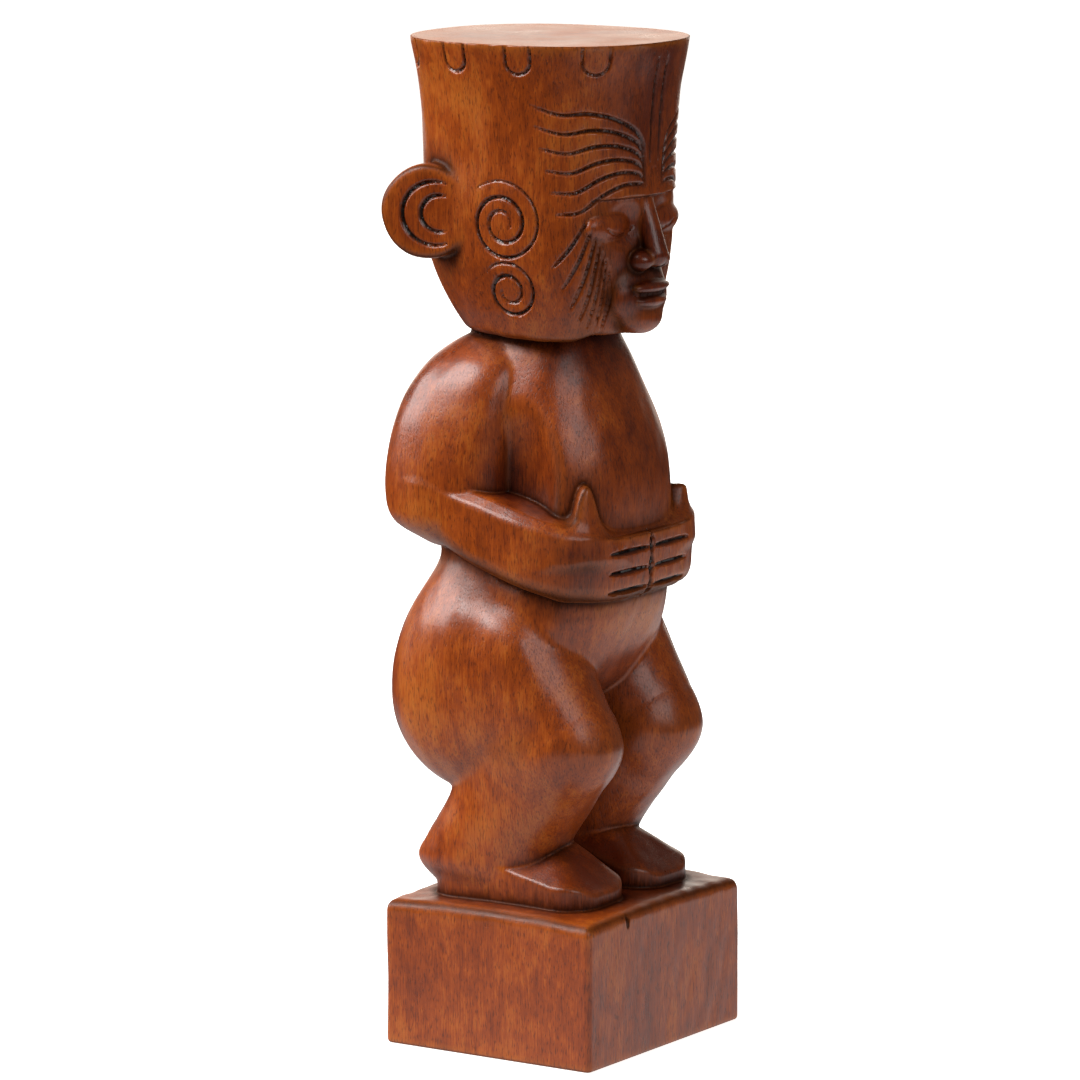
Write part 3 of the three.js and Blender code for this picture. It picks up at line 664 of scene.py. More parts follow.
@dataclass
class Carving:
    """All lines cut into the figure. Each is drawn on its left side and is on both sides."""

    figure: Figure
    line_width: float = 1.8
    line_depth: float = 1.1
    spiral_cut: tuple[float, float] = (1.6, 1.2)
    notch_cut: tuple[float, float] = (1.1, 0.7)
    slit_cut: tuple[float, float] = (1.3, 1.0)
    mouth_cut: tuple[float, float] = (1.2, 1.0)
    ear_cut: tuple[float, float] = (2.0, 1.3)
    rim_cut: tuple[float, float] = (1.4, 1.0)
    finger_cut: tuple[float, float] = (2.2, 1.7)
    hands_cut: tuple[float, float] = (1.9, 2.0)
    brow_lines: int = 6
    cheek_lines: int = 7
    soft: float = 0.14
    lines: list[Line] = field(default_factory=list)
    grooves: list[Groove] = field(default_factory=list)

    def draw(self) -> None:
        """Draws all lines and lays them on the surface."""
        self._spiral(0.4, 201.9, 13.0, 2.7, 128.0, 2.45)
        self._spiral(-0.6, 181.6, 9.3, 2.5, 147.0, 1.95)
        self._brow()
        self._cheek()
        self._features()
        self._ear()
        self._rim()
        self._hands()
        for from_side, lay in ((False, self.figure.place), (True, self.figure.side_place)):
            lines = [line for line in self.lines if line.from_side == from_side]
            rows = lay(np.concatenate([line.first for line in lines]),
                       np.concatenate([line.heights for line in lines]))
            ends = np.cumsum([len(line.first) for line in lines])
            for line, points in zip(lines, np.split(rows, ends[:-1])):
                self.grooves.append(Groove(points, line.width, line.depth, line.run_out))

    def _smooth(self, corners: list[tuple[float, float]], count: int = 48) -> tuple[Array, Array]:
        """Runs a smooth line through a few places.

        Args:
            corners: The places, as pairs of two values.
            count: How many steps the line has.

        Returns:
            The two values along the line.
        """
        table = np.array(corners, float)
        padded = np.vstack([2 * table[0] - table[1], table, 2 * table[-1] - table[-2]])
        t = np.linspace(0.0, len(table) - 1.0, count + 1)
        i = np.minimum(t.astype(int), len(table) - 2)
        u = (t - i)[:, None]
        a, b, c, d = padded[i], padded[i + 1], padded[i + 2], padded[i + 3]
        line = b + 0.5 * u * (c - a + u * (2 * a - 5 * b + 4 * c - d + u * (3 * (b - c) + d - a)))
        return line[:, 0], line[:, 1]

    def _spiral(self, y: float, height: float, outer: float, inner: float, start: float,
                turns: float) -> None:
        """Draws a spiral on the side of the head, from its outer end inwards.

        Args:
            y: Where its middle lies along Y.
            height: The height of its middle.
            outer: The radius that it starts at.
            inner: The radius that it ends at.
            start: The angle that it starts at, in degrees.
            turns: How many turns it makes.
        """
        t = np.linspace(0.0, 1.0, 140)
        radius = inner + (outer - inner) * np.power(1.0 - t, 1.2)
        angle = np.radians(start - 360.0 * turns * t)
        self.lines.append(Line(y - radius * np.cos(angle), height + radius * np.sin(angle),
                               *self.spiral_cut, from_side=True))

    def _brow(self) -> None:
        """Draws the lines that fan from the brow over the temple, and those on the forehead."""
        for i in range(self.brow_lines):
            heights = (213.5 - 0.3 * i, 226 - 2.6 * i, 232 - 3.8 * i, 234.4 - 4.8 * i, 234.2 - 5.7 * i,
                       237 - 6.4 * i)
            sweep = (56.0 - 2.6 * i) / 4.0
            turns = (6.2,) + tuple(10.5 + sweep * k for k in range(5))
            angles, levels = self._smooth(list(zip(turns, heights)))
            self.lines.append(Line(angles, levels, self.line_width, self.line_depth))
        levels = np.linspace(250.0, 219.0, 60)
        self.lines.append(Line(np.full(60, 3.6), levels, self.line_width, self.line_depth))
        self.lines.append(Line(np.linspace(0.4, 4.6, 20), np.linspace(218.0, 211.5, 20), *self.notch_cut))

    def _cheek(self) -> None:
        """Draws the lines that fan from beside the eye down over the cheek."""
        last = self.cheek_lines - 1
        for i in range(self.cheek_lines):
            top = (40.0 - 2.3 * i, 203.0 - 2.3 * i)
            foot = (55.0 - 4.6 * i, 169.5 + 20.0 * (1.0 - i / last) ** 2.2)
            t = np.linspace(0.0, 1.0, 60)
            angles = mix(top[0], foot[0], t) - 1.6 * np.sin(np.pi * t)
            self.lines.append(Line(angles, mix(top[1], foot[1], t), self.line_width, self.line_depth))

    def _features(self) -> None:
        """Draws the closed lids' slit and the mouth."""
        slit = [(8.0, 200.4), (14.0, 198.6), (22.0, 198.4), (30.0, 200.6)]
        mouth = [(0.0, 180.2), (7.0, 180.5), (14.5, 180.0)]
        for corners, cut in ((slit, self.slit_cut), (mouth, self.mouth_cut)):
            angles, levels = self._smooth(corners)
            self.lines.append(Line(angles, levels, *cut))

    def _ear(self) -> None:
        """Draws two crescents in the ear's face, open to the front."""
        for y, radius in ((23.0, 9.4), (21.6, 5.4)):
            angle = np.radians(np.linspace(-112.0, 112.0, 60))
            self.lines.append(Line(y + radius * np.cos(angle), 203.6 + radius * np.sin(angle),
                                   *self.ear_cut, from_side=True))

    def _rim(self) -> None:
        """Draws the rounded tongues that hang from the rim of the flat top."""
        half, rim, turn = 6.0, 256.0, 249.4
        for centre in [37.0 + 34.5 * i for i in range(4)] + [180.0]:
            bow = np.linspace(0.0, np.pi, 40)
            angles = np.concatenate([np.full(12, -half), -half * np.cos(bow), np.full(12, half)])
            side = np.linspace(rim, turn, 12)
            levels = np.concatenate([side, turn - 3.6 * np.sin(bow), side[::-1]])
            self.lines.append(Line(centre + angles, levels, *self.rim_cut, run_out=0.9))

    def _hands(self) -> None:
        """Draws the cuts between the fingers and between the two hands."""
        for height in (105.2, 99.2, 93.4):
            self.lines.append(Line(np.linspace(2.6, 31.0, 60), np.full(60, height), *self.finger_cut))
        levels = np.linspace(110.5, 90.0, 60)
        zigzag = 0.7 + 0.7 * np.sin(levels * 0.9)
        self.lines.append(Line(zigzag, levels, *self.hands_cut))

    def depth(self, p: Points, normal: Array) -> tuple[Array, Array]:
        """Works out how deep the lines cut at points.

        Args:
            p: The points, with heights above the soles.
            normal: The outward directions of the uncut surface, as rows.

        Returns:
            The depths, 0 where no line cuts, and their slopes as rows.
        """
        side = np.where(p.x < 0.0, -1.0, 1.0)
        p = Points(np.abs(p.x), p.y, p.z)
        normal = normal * np.stack([side, np.ones(len(side)), np.ones(len(side))], axis=1)
        cut = np.full(len(p.x), -1.0)
        slope = np.zeros((len(p.x), 3))
        for groove in self.grooves:
            where, deep, steep = groove.cut(p, normal)
            deeper = deep > cut[where]
            cut[where[deeper]] = deep[deeper]
            slope[where[deeper]] = steep[deeper]
        h = np.maximum(self.soft - np.abs(cut), 0.0) / self.soft
        slope *= ((cut > 0.0) - np.sign(cut) * h / 2.0)[:, None]
        slope[:, 0] *= side
        return np.maximum(cut, 0.0) + h * h * self.soft / 4.0, slope


@dataclass
class HandTooling:
    """The slight unevenness that gouge and scraper leave: long soft ripples along the grain."""

    height: float = 0.07
    seed: int = 11
    count: int = 26

    def __post_init__(self) -> None:
        """Draws the ripples' directions, lengths and offsets."""
        draw = np.random.default_rng(self.seed)
        length = draw.uniform(6.0, 17.0, self.count)
        turn = draw.uniform(0.0, 2.0 * math.pi, self.count)
        rise = draw.uniform(-0.45, 0.45, self.count)
        self.waves = (2.0 * math.pi / length)[:, None] * np.stack(
            [np.cos(turn) * np.cos(rise), np.sin(turn) * np.cos(rise), np.sin(rise)], axis=1)
        self.offsets = draw.uniform(0.0, 2.0 * math.pi, self.count)

    def lift(self, p: Points) -> tuple[Array, Array]:
        """Works out how far the ripples raise the surface.

        Args:
            p: The points.

        Returns:
            The heights in millimetres, below 0 in a trough, and their slopes as rows.
        """
        rows = p.table()
        total = np.zeros(len(rows))
        slope = np.zeros((len(rows), 3))
        for wave, offset in zip(self.waves, self.offsets):
            phase = rows @ wave + offset
            total += np.sin(phase)
            slope += np.cos(phase)[:, None] * wave
        size = self.height / math.sqrt(self.count / 2.0)
        return size * total, size * slope


@dataclass
class Form:
    """The statue's whole form: figure, plinth, carved lines and tooling, with z from the underside."""

    figure: Figure
    plinth: Plinth
    carving: Carving
    tooling: HandTooling
    sole: float = 45.6
    top: float = 300.0
    foot_edge: float = 1.4

    def uncut(self, p: Points) -> Array:
        """Measures the distances to the form before its lines are cut.

        Args:
            p: The points.

        Returns:
            The distances, negative inside.
        """
        d = self.figure.distance(p.moved(0.0, 0.0, -self.sole))
        low = p.z < self.sole + 20.0
        d[low] = join(d[low], self.plinth.distance(p.pick(low)), 0.8)
        return trim(trim(d, p.z - self.top, 0.5), -p.z, self.foot_edge)

    def uncut_slope(self, p: Points) -> tuple[Array, Array]:
        """Measures the distances to the uncut form and their slope.

        Args:
            p: The points.

        Returns:
            The distances, and the slopes as rows.
        """
        e = 0.03
        value = self.uncut(p)
        steps = [self.uncut(p.moved(*move)) for move in ((e, 0, 0), (0, e, 0), (0, 0, e))]
        return value, np.stack([(step - value) / e for step in steps], axis=1)

    def finished(self, p: Points) -> tuple[Array, Array, Array]:
        """Measures the distances to the finished form.

        Args:
            p: The points.

        Returns:
            The distances, their slopes as rows, and the depths of the lines.
        """
        base, slope = self.uncut_slope(p)
        normal = slope / np.maximum(np.linalg.norm(slope, axis=1), 1e-6)[:, None]
        cut, cut_slope = self.carving.depth(p.moved(0.0, 0.0, -self.sole), normal)
        flat = ease(0.0, 3.0, p.z) * ease(0.0, 1.5, self.top - p.z)
        lift, lift_slope = self.tooling.lift(p)
        flat *= 1.0 - ease(0.0, 0.3, cut)
        return base + cut - lift * flat, slope + cut_slope - lift_slope * flat[:, None], cut


def linear(colour: str, alpha: float = 1.0) -> tuple[float, float, float, float]:
    """Turns an sRGB hex colour into linear values.

    Args:
        colour: The colour, as "#rrggbb".
        alpha: The opacity.

    Returns:
        Red, green, blue and alpha.
    """
    parts = [int(colour[i:i + 2], 16) / 255.0 for i in (1, 3, 5)]
    light = [c / 12.92 if c <= 0.04045 else ((c + 0.055) / 1.055) ** 2.4 for c in parts]
    return light[0], light[1], light[2], alpha


def add_node(tree: bpy.types.NodeTree, kind: str, settings: dict | None = None,
             links: dict | None = None) -> bpy.types.Node:
    """Adds a node with its settings and links.

    Args:
        tree: The node tree.
        kind: The node's type.
        settings: Values by name, for its own properties and for its inputs.
        links: Outputs of other nodes by the name or number of the input that takes them.

    Returns:
        The node.
    """
    node = tree.nodes.new(kind)
    for name, value in (settings or {}).items():
        if isinstance(name, str) and hasattr(node, name):
            setattr(node, name, value)
        else:
            node.inputs[name].default_value = value
    for name, output in (links or {}).items():
        tree.links.new(output, node.inputs[name])
    return node


@dataclass(frozen=True)
class StainedHardwood:
    """Tropical hardwood, carved by hand, stained red-brown and brushed with satin lacquer.

    The eye sees a red-orange body with fine upright grain, short dark pores, stain that lies in clouds,
    and a soft sheen. Painted into the colour are shade near black at the bottom of every cut, where
    stain has settled too, and in hollows and creases, a painted highlight along convex edges, and the
    patches' painted shade and painted light.
    """

    name: str = "stained_lacquered_hardwood"
    body: str = "#9c430b"
    deep: str = "#5e1f07"
    # A paler tone of the wood, also painted along convex edges as a highlight.
    pale: str = "#bd6a22"
    # Near black: painted at the bottom of the cut lines, where stain has settled, together with painted
    # shade, and also painted as shade in hollows and creases.
    cut: str = "#120603"
    pore: str = "#2c0f05"
    cloud: float = 19.0
    streak_width: float = 2.6
    streak_length: float = 30.0
    fibre_width: float = 0.5
    fibre_length: float = 7.0
    pore_width: float = 0.42
    pore_length: float = 2.1
    mottle: Triple = (3.2, 3.2, 5.5)
    lacquer: float = 1.6
    fibre_bump: float = 0.018
    pore_bump: float = -0.02
    lacquer_bump: float = 0.03
    roughness: float = 0.31
    # Painted shade on the sheen: the specular level left in hollows and creases. Then the shares of the
    # pores, of the painted highlight on edges and of the painted shade in hollows.
    recess_shade_gloss: float = 0.08
    pore_share: float = 0.5
    edge_highlight_share: float = 0.45
    recess_shade_share: float = 0.85

    def build(self) -> bpy.types.Material:
        """Makes the material.

        Returns:
            The material.
        """
        material = bpy.data.materials.new(self.name)
        material.use_nodes = True
        tree = material.node_tree
        tree.nodes.clear()
        place = add_node(tree, "ShaderNodeTexCoord").outputs["Object"]
        cloud = self._noise(tree, place, (self.cloud, self.cloud, 1.5 * self.cloud), 3.0, 0.6)
        streak = self._noise(tree, place, (self.streak_width,) * 2 + (self.streak_length,), 3.0, 0.55)
        fibre = self._noise(tree, place, (self.fibre_width,) * 2 + (self.fibre_length,), 2.0, 0.6)
        fleck = self._noise(tree, place, (self.pore_width,) * 2 + (self.pore_length,), 1.0, 0.5)
        pores = self._range(tree, fleck, 0.56, 0.68)
        mottle = self._noise(tree, place, self.mottle, 2.0, 0.6)
        colour = self._colour(tree, cloud, mottle, streak, fibre, pores)
        lacquer = self._noise(tree, place, (self.lacquer,) * 3, 1.0, 0.5)
        height = self._sum(tree, ((fibre, self.fibre_bump), (pores, self.pore_bump),
                                  (lacquer, self.lacquer_bump)))
        bump = add_node(tree, "ShaderNodeBump", {"Strength": 1.0, "Distance": MM}, {"Height": height})
        rough = self._range(tree, cloud, 0.3, 0.7, self.roughness - 0.05, self.roughness + 0.06)
        # Hollows and creases get rougher, and they lose most of their sheen as painted shade.
        rough = self._sum(tree, ((rough, 1.0), (self._attribute(tree, "recess_shade"), 0.2)))
        gloss = self._range(tree, self._attribute(tree, "recess_shade"), 0.0, 0.8, 0.5, self.recess_shade_gloss)
        shader = add_node(tree, "ShaderNodeBsdfPrincipled", {
            "IOR": 1.5, "Coat Weight": 0.05, "Coat Roughness": 0.12, "Coat IOR": 1.5},
            {"Base Color": colour, "Roughness": rough, "Specular IOR Level": gloss,
             "Normal": bump.outputs["Normal"]})
        add_node(tree, "ShaderNodeOutputMaterial", None, {"Surface": shader.outputs["BSDF"]})
        return material

    def _attribute(self, tree: bpy.types.NodeTree, name: str) -> bpy.types.NodeSocket:
        """Returns the value of a vertex attribute."""
        return add_node(tree, "ShaderNodeAttribute", {"attribute_name": name}).outputs["Fac"]

    def _noise(self, tree: bpy.types.NodeTree, place: bpy.types.NodeSocket, sizes: Triple, detail: float,
               roughness: float) -> bpy.types.NodeSocket:
        """Adds noise of a given size in millimetres along X, Y and Z.

        Args:
            tree: The node tree.
            place: The object coordinates.
            sizes: The size of the pattern along each axis.
            detail: The noise's detail.
            roughness: The noise's roughness.

        Returns:
            The noise's value.
        """
        scale = tuple(1.0 / (MM * size) for size in sizes)
        mapped = add_node(tree, "ShaderNodeMapping", {"Scale": scale}, {"Vector": place})
        return add_node(tree, "ShaderNodeTexNoise", {"Scale": 1.0, "Detail": detail, "Roughness": roughness},
                        {"Vector": mapped.outputs["Vector"]}).outputs["Fac"]

    def _range(self, tree: bpy.types.NodeTree, value: bpy.types.NodeSocket, low: float, high: float,
               to_low: float = 0.0, to_high: float = 1.0) -> bpy.types.NodeSocket:
        """Stretches a range of values to another.

        Args:
            tree: The node tree.
            value: The value.
            low: The value that gives the new low end.
            high: The value that gives the new high end.
            to_low: The new low end.
            to_high: The new high end.

        Returns:
            The new value.
        """
        settings = {"From Min": low, "From Max": high, "To Min": to_low, "To Max": to_high}
        return add_node(tree, "ShaderNodeMapRange", settings, {"Value": value}).outputs["Result"]

    def _sum(self, tree: bpy.types.NodeTree,
             parts: tuple[tuple[bpy.types.NodeSocket, float], ...]) -> bpy.types.NodeSocket:
        """Adds weighted values up.

        Args:
            tree: The node tree.
            parts: Pairs of a value and its weight.

        Returns:
            The sum.
        """
        total = None
        for socket, weight in parts:
            links = {0: socket}
            if total is not None:
                links[2] = total
            total = add_node(tree, "ShaderNodeMath", {"operation": "MULTIPLY_ADD", 1: weight, 2: 0.0},
                             links).outputs[0]
        return total

    def _colour(self, tree: bpy.types.NodeTree, cloud: bpy.types.NodeSocket, mottle: bpy.types.NodeSocket,
                streak: bpy.types.NodeSocket, fibre: bpy.types.NodeSocket,
                pores: bpy.types.NodeSocket) -> bpy.types.NodeSocket:
        """Mixes the wood's colour, with its painted shade and painted highlights.

        Args:
            tree: The node tree.
            cloud: The stain's clouds.
            mottle: The stain's small mottles.
            streak: The broad grain.
            fibre: The fine grain.
            pores: The pores.

        Returns:
            The colour.
        """
        # The stain attribute brings the patches: painted shade and painted light, with darker stain in
        # places.
        stain = self._range(tree, self._attribute(tree, "stain"), 0.0, 1.0, -0.5, 0.5)
        weighted = ((cloud, 0.38), (mottle, 0.22), (streak, 0.14), (fibre, 0.26))
        parts = tuple((self._range(tree, value, 0.3, 0.7), weight) for value, weight in weighted)
        tone = self._sum(tree, parts + ((stain, 0.9),))
        colour = self._blend(tree, self._range(tree, tone, 0.1, 0.62), linear(self.deep), linear(self.body))
        colour = self._blend(tree, self._range(tree, tone, 0.55, 1.1), colour, linear(self.pale))
        # Painted over the wood: a highlight on convex edges, the dark pores, painted shade in hollows and
        # creases, and the dark in the cut lines, which is settled stain with painted shade.
        marks = ((self._attribute(tree, "edge"), self.edge_highlight_share, self.pale),
                 (pores, self.pore_share, self.pore),
                 (self._attribute(tree, "recess_shade"), self.recess_shade_share, self.cut),
                 (self._attribute(tree, "cut"), 1.0, self.cut))
        for mark, share, paint in marks:
            colour = self._blend(tree, self._sum(tree, ((mark, share),)), colour, linear(paint))
        return colour

    def _blend(self, tree: bpy.types.NodeTree, share: bpy.types.NodeSocket, first: object,
               second: object) -> bpy.types.NodeSocket:
        """Mixes two colours.

        Args:
            tree: The node tree.
            share: The second colour's share.
            first: The first colour, as a socket or linear values.
            second: The second colour, as a socket or linear values.

        Returns:
            The mixed colour.
        """
        node = add_node(tree, "ShaderNodeMix", {"data_type": "RGBA"}, {0: share})
        for number, value in ((6, first), (7, second)):
            if isinstance(value, bpy.types.NodeSocket):
                tree.links.new(value, node.inputs[number])
            else:
                node.inputs[number].default_value = value
        return node.outputs[2]


class Fineness(Enum):
    """How finely the surface is modelled: voxel size in millimetres and triangle limit."""

    FINAL = (0.42, 192000)
    DRAFT = (0.8, 90000)


@dataclass(frozen=True)
class StainShadeAndLightPatch:
    """A soft-edged place on both sides of the figure where the colour is made darker or paler: mostly
    painted shade and painted light, in places darker stain.
    """

    centre: Triple
    radii: Triple
    shade: float

    def amount(self, p: Points) -> Array:
        """Works out how strongly the patch tells at points.

        Args:
            p: The points, on the figure's left side, with heights above the soles.

        Returns:
            The shade there, below 0 where the patch paints darker.
        """
        near = [(a - c) / r for a, c, r in zip((p.x, p.y, p.z), self.centre, self.radii)]
        return self.shade * (1.0 - ease(0.3, 1.3, np.sqrt(near[0] ** 2 + near[1] ** 2 + near[2] ** 2)))


# Patches of painted shade and painted light, with darker stain on the feet, on the figure's left side, with
# heights above the soles.
STAIN_SHADE_AND_LIGHT = (
    # Painted shade on the forehead's front.
    StainShadeAndLightPatch((8.0, -34.0, 236.0), (18.0, 12.0, 24.0), -0.8),
    # Painted shade on the face.
    StainShadeAndLightPatch((8.0, -32.0, 190.0), (19.0, 11.0, 24.0), -0.6),
    # Darker over the flat top and round its rim.
    StainShadeAndLightPatch((0.0, 5.0, 256.0), (50.0, 50.0, 7.0), -0.3),
    # Painted light on the upper back of the head's side.
    StainShadeAndLightPatch((30.0, 22.0, 234.0), (12.0, 18.0, 22.0), 0.45),
    # Painted shade under the head, on the neck and upper chest.
    StainShadeAndLightPatch((0.0, -14.0, 161.0), (32.0, 16.0, 11.0), -0.6),
    # Painted shade on the chest's front.
    StainShadeAndLightPatch((4.0, -28.0, 133.0), (20.0, 10.0, 24.0), -0.35),
    # Painted shade in the hollow between ribs and arm.
    StainShadeAndLightPatch((30.0, -10.0, 124.0), (13.0, 13.0, 20.0), -0.7),
    # Painted shadow in the pocket where the arm meets the ribs.
    StainShadeAndLightPatch((28.0, 4.0, 124.0), (8.0, 8.0, 12.0), -0.9),
    # Painted shade on the forearm beside the hands.
    StainShadeAndLightPatch((32.0, -26.0, 102.0), (12.0, 9.0, 13.0), -0.5),
    # Painted light on the elbow.
    StainShadeAndLightPatch((38.0, 20.0, 112.0), (10.0, 16.0, 12.0), 0.4),
    # Painted light on the front below the hands.
    StainShadeAndLightPatch((8.0, -27.0, 83.0), (26.0, 10.0, 11.0), 0.6),
    # Painted light on the hip and buttock.
    StainShadeAndLightPatch((38.0, 18.0, 52.0), (12.0, 22.0, 24.0), 0.45),
    # Painted shade between the legs, at the groin.
    StainShadeAndLightPatch((0.0, -16.0, 56.0), (15.0, 20.0, 20.0), -0.5),
    # Painted light on the side of the shin.
    StainShadeAndLightPatch((33.0, 8.0, 20.0), (10.0, 16.0, 18.0), 0.4),
    # Painted shade on the tops of the feet, where the stain is also darker.
    StainShadeAndLightPatch((17.0, -16.0, 8.0), (22.0, 20.0, 9.0), -1.0),
    # Painted shade between the legs, low down by the heels.
    StainShadeAndLightPatch((0.0, 0.0, 10.0), (9.0, 26.0, 26.0), -0.6),
    # Darker on the plinth's top around the feet.
    StainShadeAndLightPatch((0.0, 0.0, -1.0), (60.0, 52.0, 4.0), -0.5),
)


@dataclass
class CarvedStatue:
    """The statue's visible surface, modelled from a copy of the solid."""

    form: Form
    finish: StainedHardwood
    fineness: Fineness
    patches: tuple[StainShadeAndLightPatch, ...] = STAIN_SHADE_AND_LIGHT
    smooth_angle: float = math.radians(42.0)
    # How far out the painted shade of hollows and creases looks, and the weight of each reach; how far in
    # the painted highlight of convex edges looks, and its strength; the cut depths where the dark of the cut
    # lines starts and where it is full.
    recess_shade_reaches: tuple[tuple[float, float], ...] = ((1.2, 0.45), (3.0, 0.3), (8.0, 0.25))
    edge_highlight_reach: float = 1.6
    edge_highlight_strength: float = 1.6
    cut_start: float = 0.1
    cut_full: float = 0.8

    def build(self) -> bpy.types.Object:
        """Models and dresses the statue.

        Returns:
            The finished piece.
        """
        piece = self._copy_solid()
        voxel, limit = self.fineness.value
        self._apply(piece, "REMESH", {"mode": "VOXEL", "voxel_size": voxel * MM})
        LOG.info("remeshed: %d faces", len(piece.data.polygons))
        self._settle(piece, 4, voxel)
        LOG.info("settled on the form")
        triangles = sum(len(face.vertices) - 2 for face in piece.data.polygons)
        ratio = min(1.0, limit / triangles)
        self._apply(piece, "DECIMATE", {"decimate_type": "COLLAPSE", "ratio": ratio})
        LOG.info("thinned: %d triangles", len(piece.data.polygons))
        self._settle(piece, 1, voxel)
        self._keep_inside(piece)
        self._mark(piece)
        bpy.ops.object.shade_smooth_by_angle(angle=self.smooth_angle)
        self._apply(piece, "WEIGHTED_NORMAL", {"mode": "FACE_AREA", "keep_sharp": True})
        piece.data.materials.clear()
        piece.data.materials.append(self.finish.build())
        return piece

    def _copy_solid(self) -> bpy.types.Object:
        """Copies the solid and merges its loose triangles.

        Returns:
            The copy, selected and active.
        """
        bpy.ops.object.select_all(action="DESELECT")
        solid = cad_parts[NODE]
        solid.select_set(True)
        bpy.context.view_layer.objects.active = solid
        bpy.ops.object.duplicate()
        piece = bpy.context.view_layer.objects.active
        piece.name = "carved_statue"
        for key in [key for key in piece.keys() if key.startswith("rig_")]:
            del piece[key]
        piece.parent = None
        bpy.ops.object.mode_set(mode="EDIT")
        bpy.ops.mesh.select_all(action="SELECT")
        bpy.ops.mesh.remove_doubles(threshold=0.002 * MM)
        bpy.ops.object.mode_set(mode="OBJECT")
        return piece

    def _apply(self, piece: bpy.types.Object, kind: str, settings: dict) -> None:
        """Adds a modifier and applies it.

        Args:
            piece: The piece.
            kind: The modifier's type.
            settings: Its settings by name.
        """
        modifier = piece.modifiers.new(kind.title(), kind)
        for name, value in settings.items():
            setattr(modifier, name, value)
        bpy.ops.object.modifier_apply(modifier=modifier.name)

    def _points(self, piece: bpy.types.Object) -> Array:
        """Returns the piece's vertices in millimetres, as rows."""
        flat = np.empty(len(piece.data.vertices) * 3)
        piece.data.vertices.foreach_get("co", flat)
        return flat.reshape(-1, 3) / MM

    def _store(self, piece: bpy.types.Object, rows: Array) -> None:
        """Puts vertices given in millimetres back."""
        piece.data.vertices.foreach_set("co", (rows * MM).ravel())
        piece.data.update()

    def _settle(self, piece: bpy.types.Object, rounds: int, voxel: float) -> None:
        """Moves each vertex onto the form along the field's slope.

        Args:
            piece: The piece.
            rounds: How often each vertex is moved.
            voxel: The surface's cell size, which limits a move.
        """
        rows = self._points(piece)
        for _ in range(rounds):
            value, slope, _ = self.form.finished(Points(*rows.T))
            steep = np.maximum((slope ** 2).sum(axis=1), 0.3)
            move = np.clip(value / steep, -0.6 * voxel, 0.6 * voxel)
            rows = rows - slope * move[:, None]
        self._store(piece, rows)

    def _keep_inside(self, piece: bpy.types.Object) -> None:
        """Holds every vertex within the solid's own box."""
        low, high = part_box(NODE)
        rows = np.clip(self._points(piece) * MM, np.array(low), np.array(high))
        self._store(piece, rows / MM)

    def _mark(self, piece: bpy.types.Object) -> None:
        """Writes how far each vertex lies in a cut, the painted shade of hollows and creases, the painted
        highlight of convex edges, and the patches' painted shade and light.

        Args:
            piece: The piece.
        """
        p = Points(*self._points(piece).T)
        base, slope = self.form.uncut_slope(p)
        normal = slope / np.maximum(np.linalg.norm(slope, axis=1), 1e-6)[:, None]
        cut = self.form.finished(p)[2]
        # Painted shade: darker the more the uncut form closes in over the vertex at each reach along its
        # normal.
        recess_shade = np.zeros(len(p.x))
        for reach, weight in self.recess_shade_reaches:
            there = self.form.uncut(p.moved(*(normal * reach).T))
            recess_shade += weight * ease(0.06, 0.4, 1.0 - (there - base) / reach)
        # Painted highlight: paler the more the form falls away under a convex edge.
        there = self.form.uncut(p.moved(*(-normal * self.edge_highlight_reach).T))
        edge = np.clip(1.0 + (there - base) / self.edge_highlight_reach, 0.0, 1.0)
        left = Points(np.abs(p.x), p.y, p.z - self.form.sole)
        # The patches' painted shade and painted light, with darker stain in places, the same on both sides.
        stain = 0.5 + 0.5 * sum(patch.amount(left) for patch in self.patches)
        # Painted shade of hollows, painted highlight of edges, the cut lines' dark (settled stain with
        # painted shade), and the patches.
        marks = {"recess_shade": recess_shade, "edge": edge * self.edge_highlight_strength,
                 "cut": (cut - self.cut_start) / (self.cut_full - self.cut_start), "stain": stain}
        for name, values in marks.items():
            attribute = piece.data.attributes.new(name, "FLOAT", "POINT")
            attribute.data.foreach_set("value", np.clip(values, 0.0, 1.0).astype(np.float32))


@dataclass(frozen=True)
class Softbox:
    """A rectangular studio light that looks at a point."""

    name: str
    place: Triple
    aim: Triple
    size: tuple[float, float]
    power: float
    colour: str = "#ffffff"

    def build(self) -> None:
        """Adds the light to the scene."""
        data = bpy.data.lights.new(self.name, "AREA")
        data.shape = "RECTANGLE"
        data.size, data.size_y = self.size
        data.energy = self.power
        data.color = linear(self.colour)[:3]
        light = bpy.data.objects.new(self.name, data)
        bpy.context.scene.collection.objects.link(light)
        light.location = self.place
        light.visible_camera = False
        look = Vector(self.aim) - Vector(self.place)
        light.rotation_euler = look.to_track_quat("-Z", "Y").to_euler()


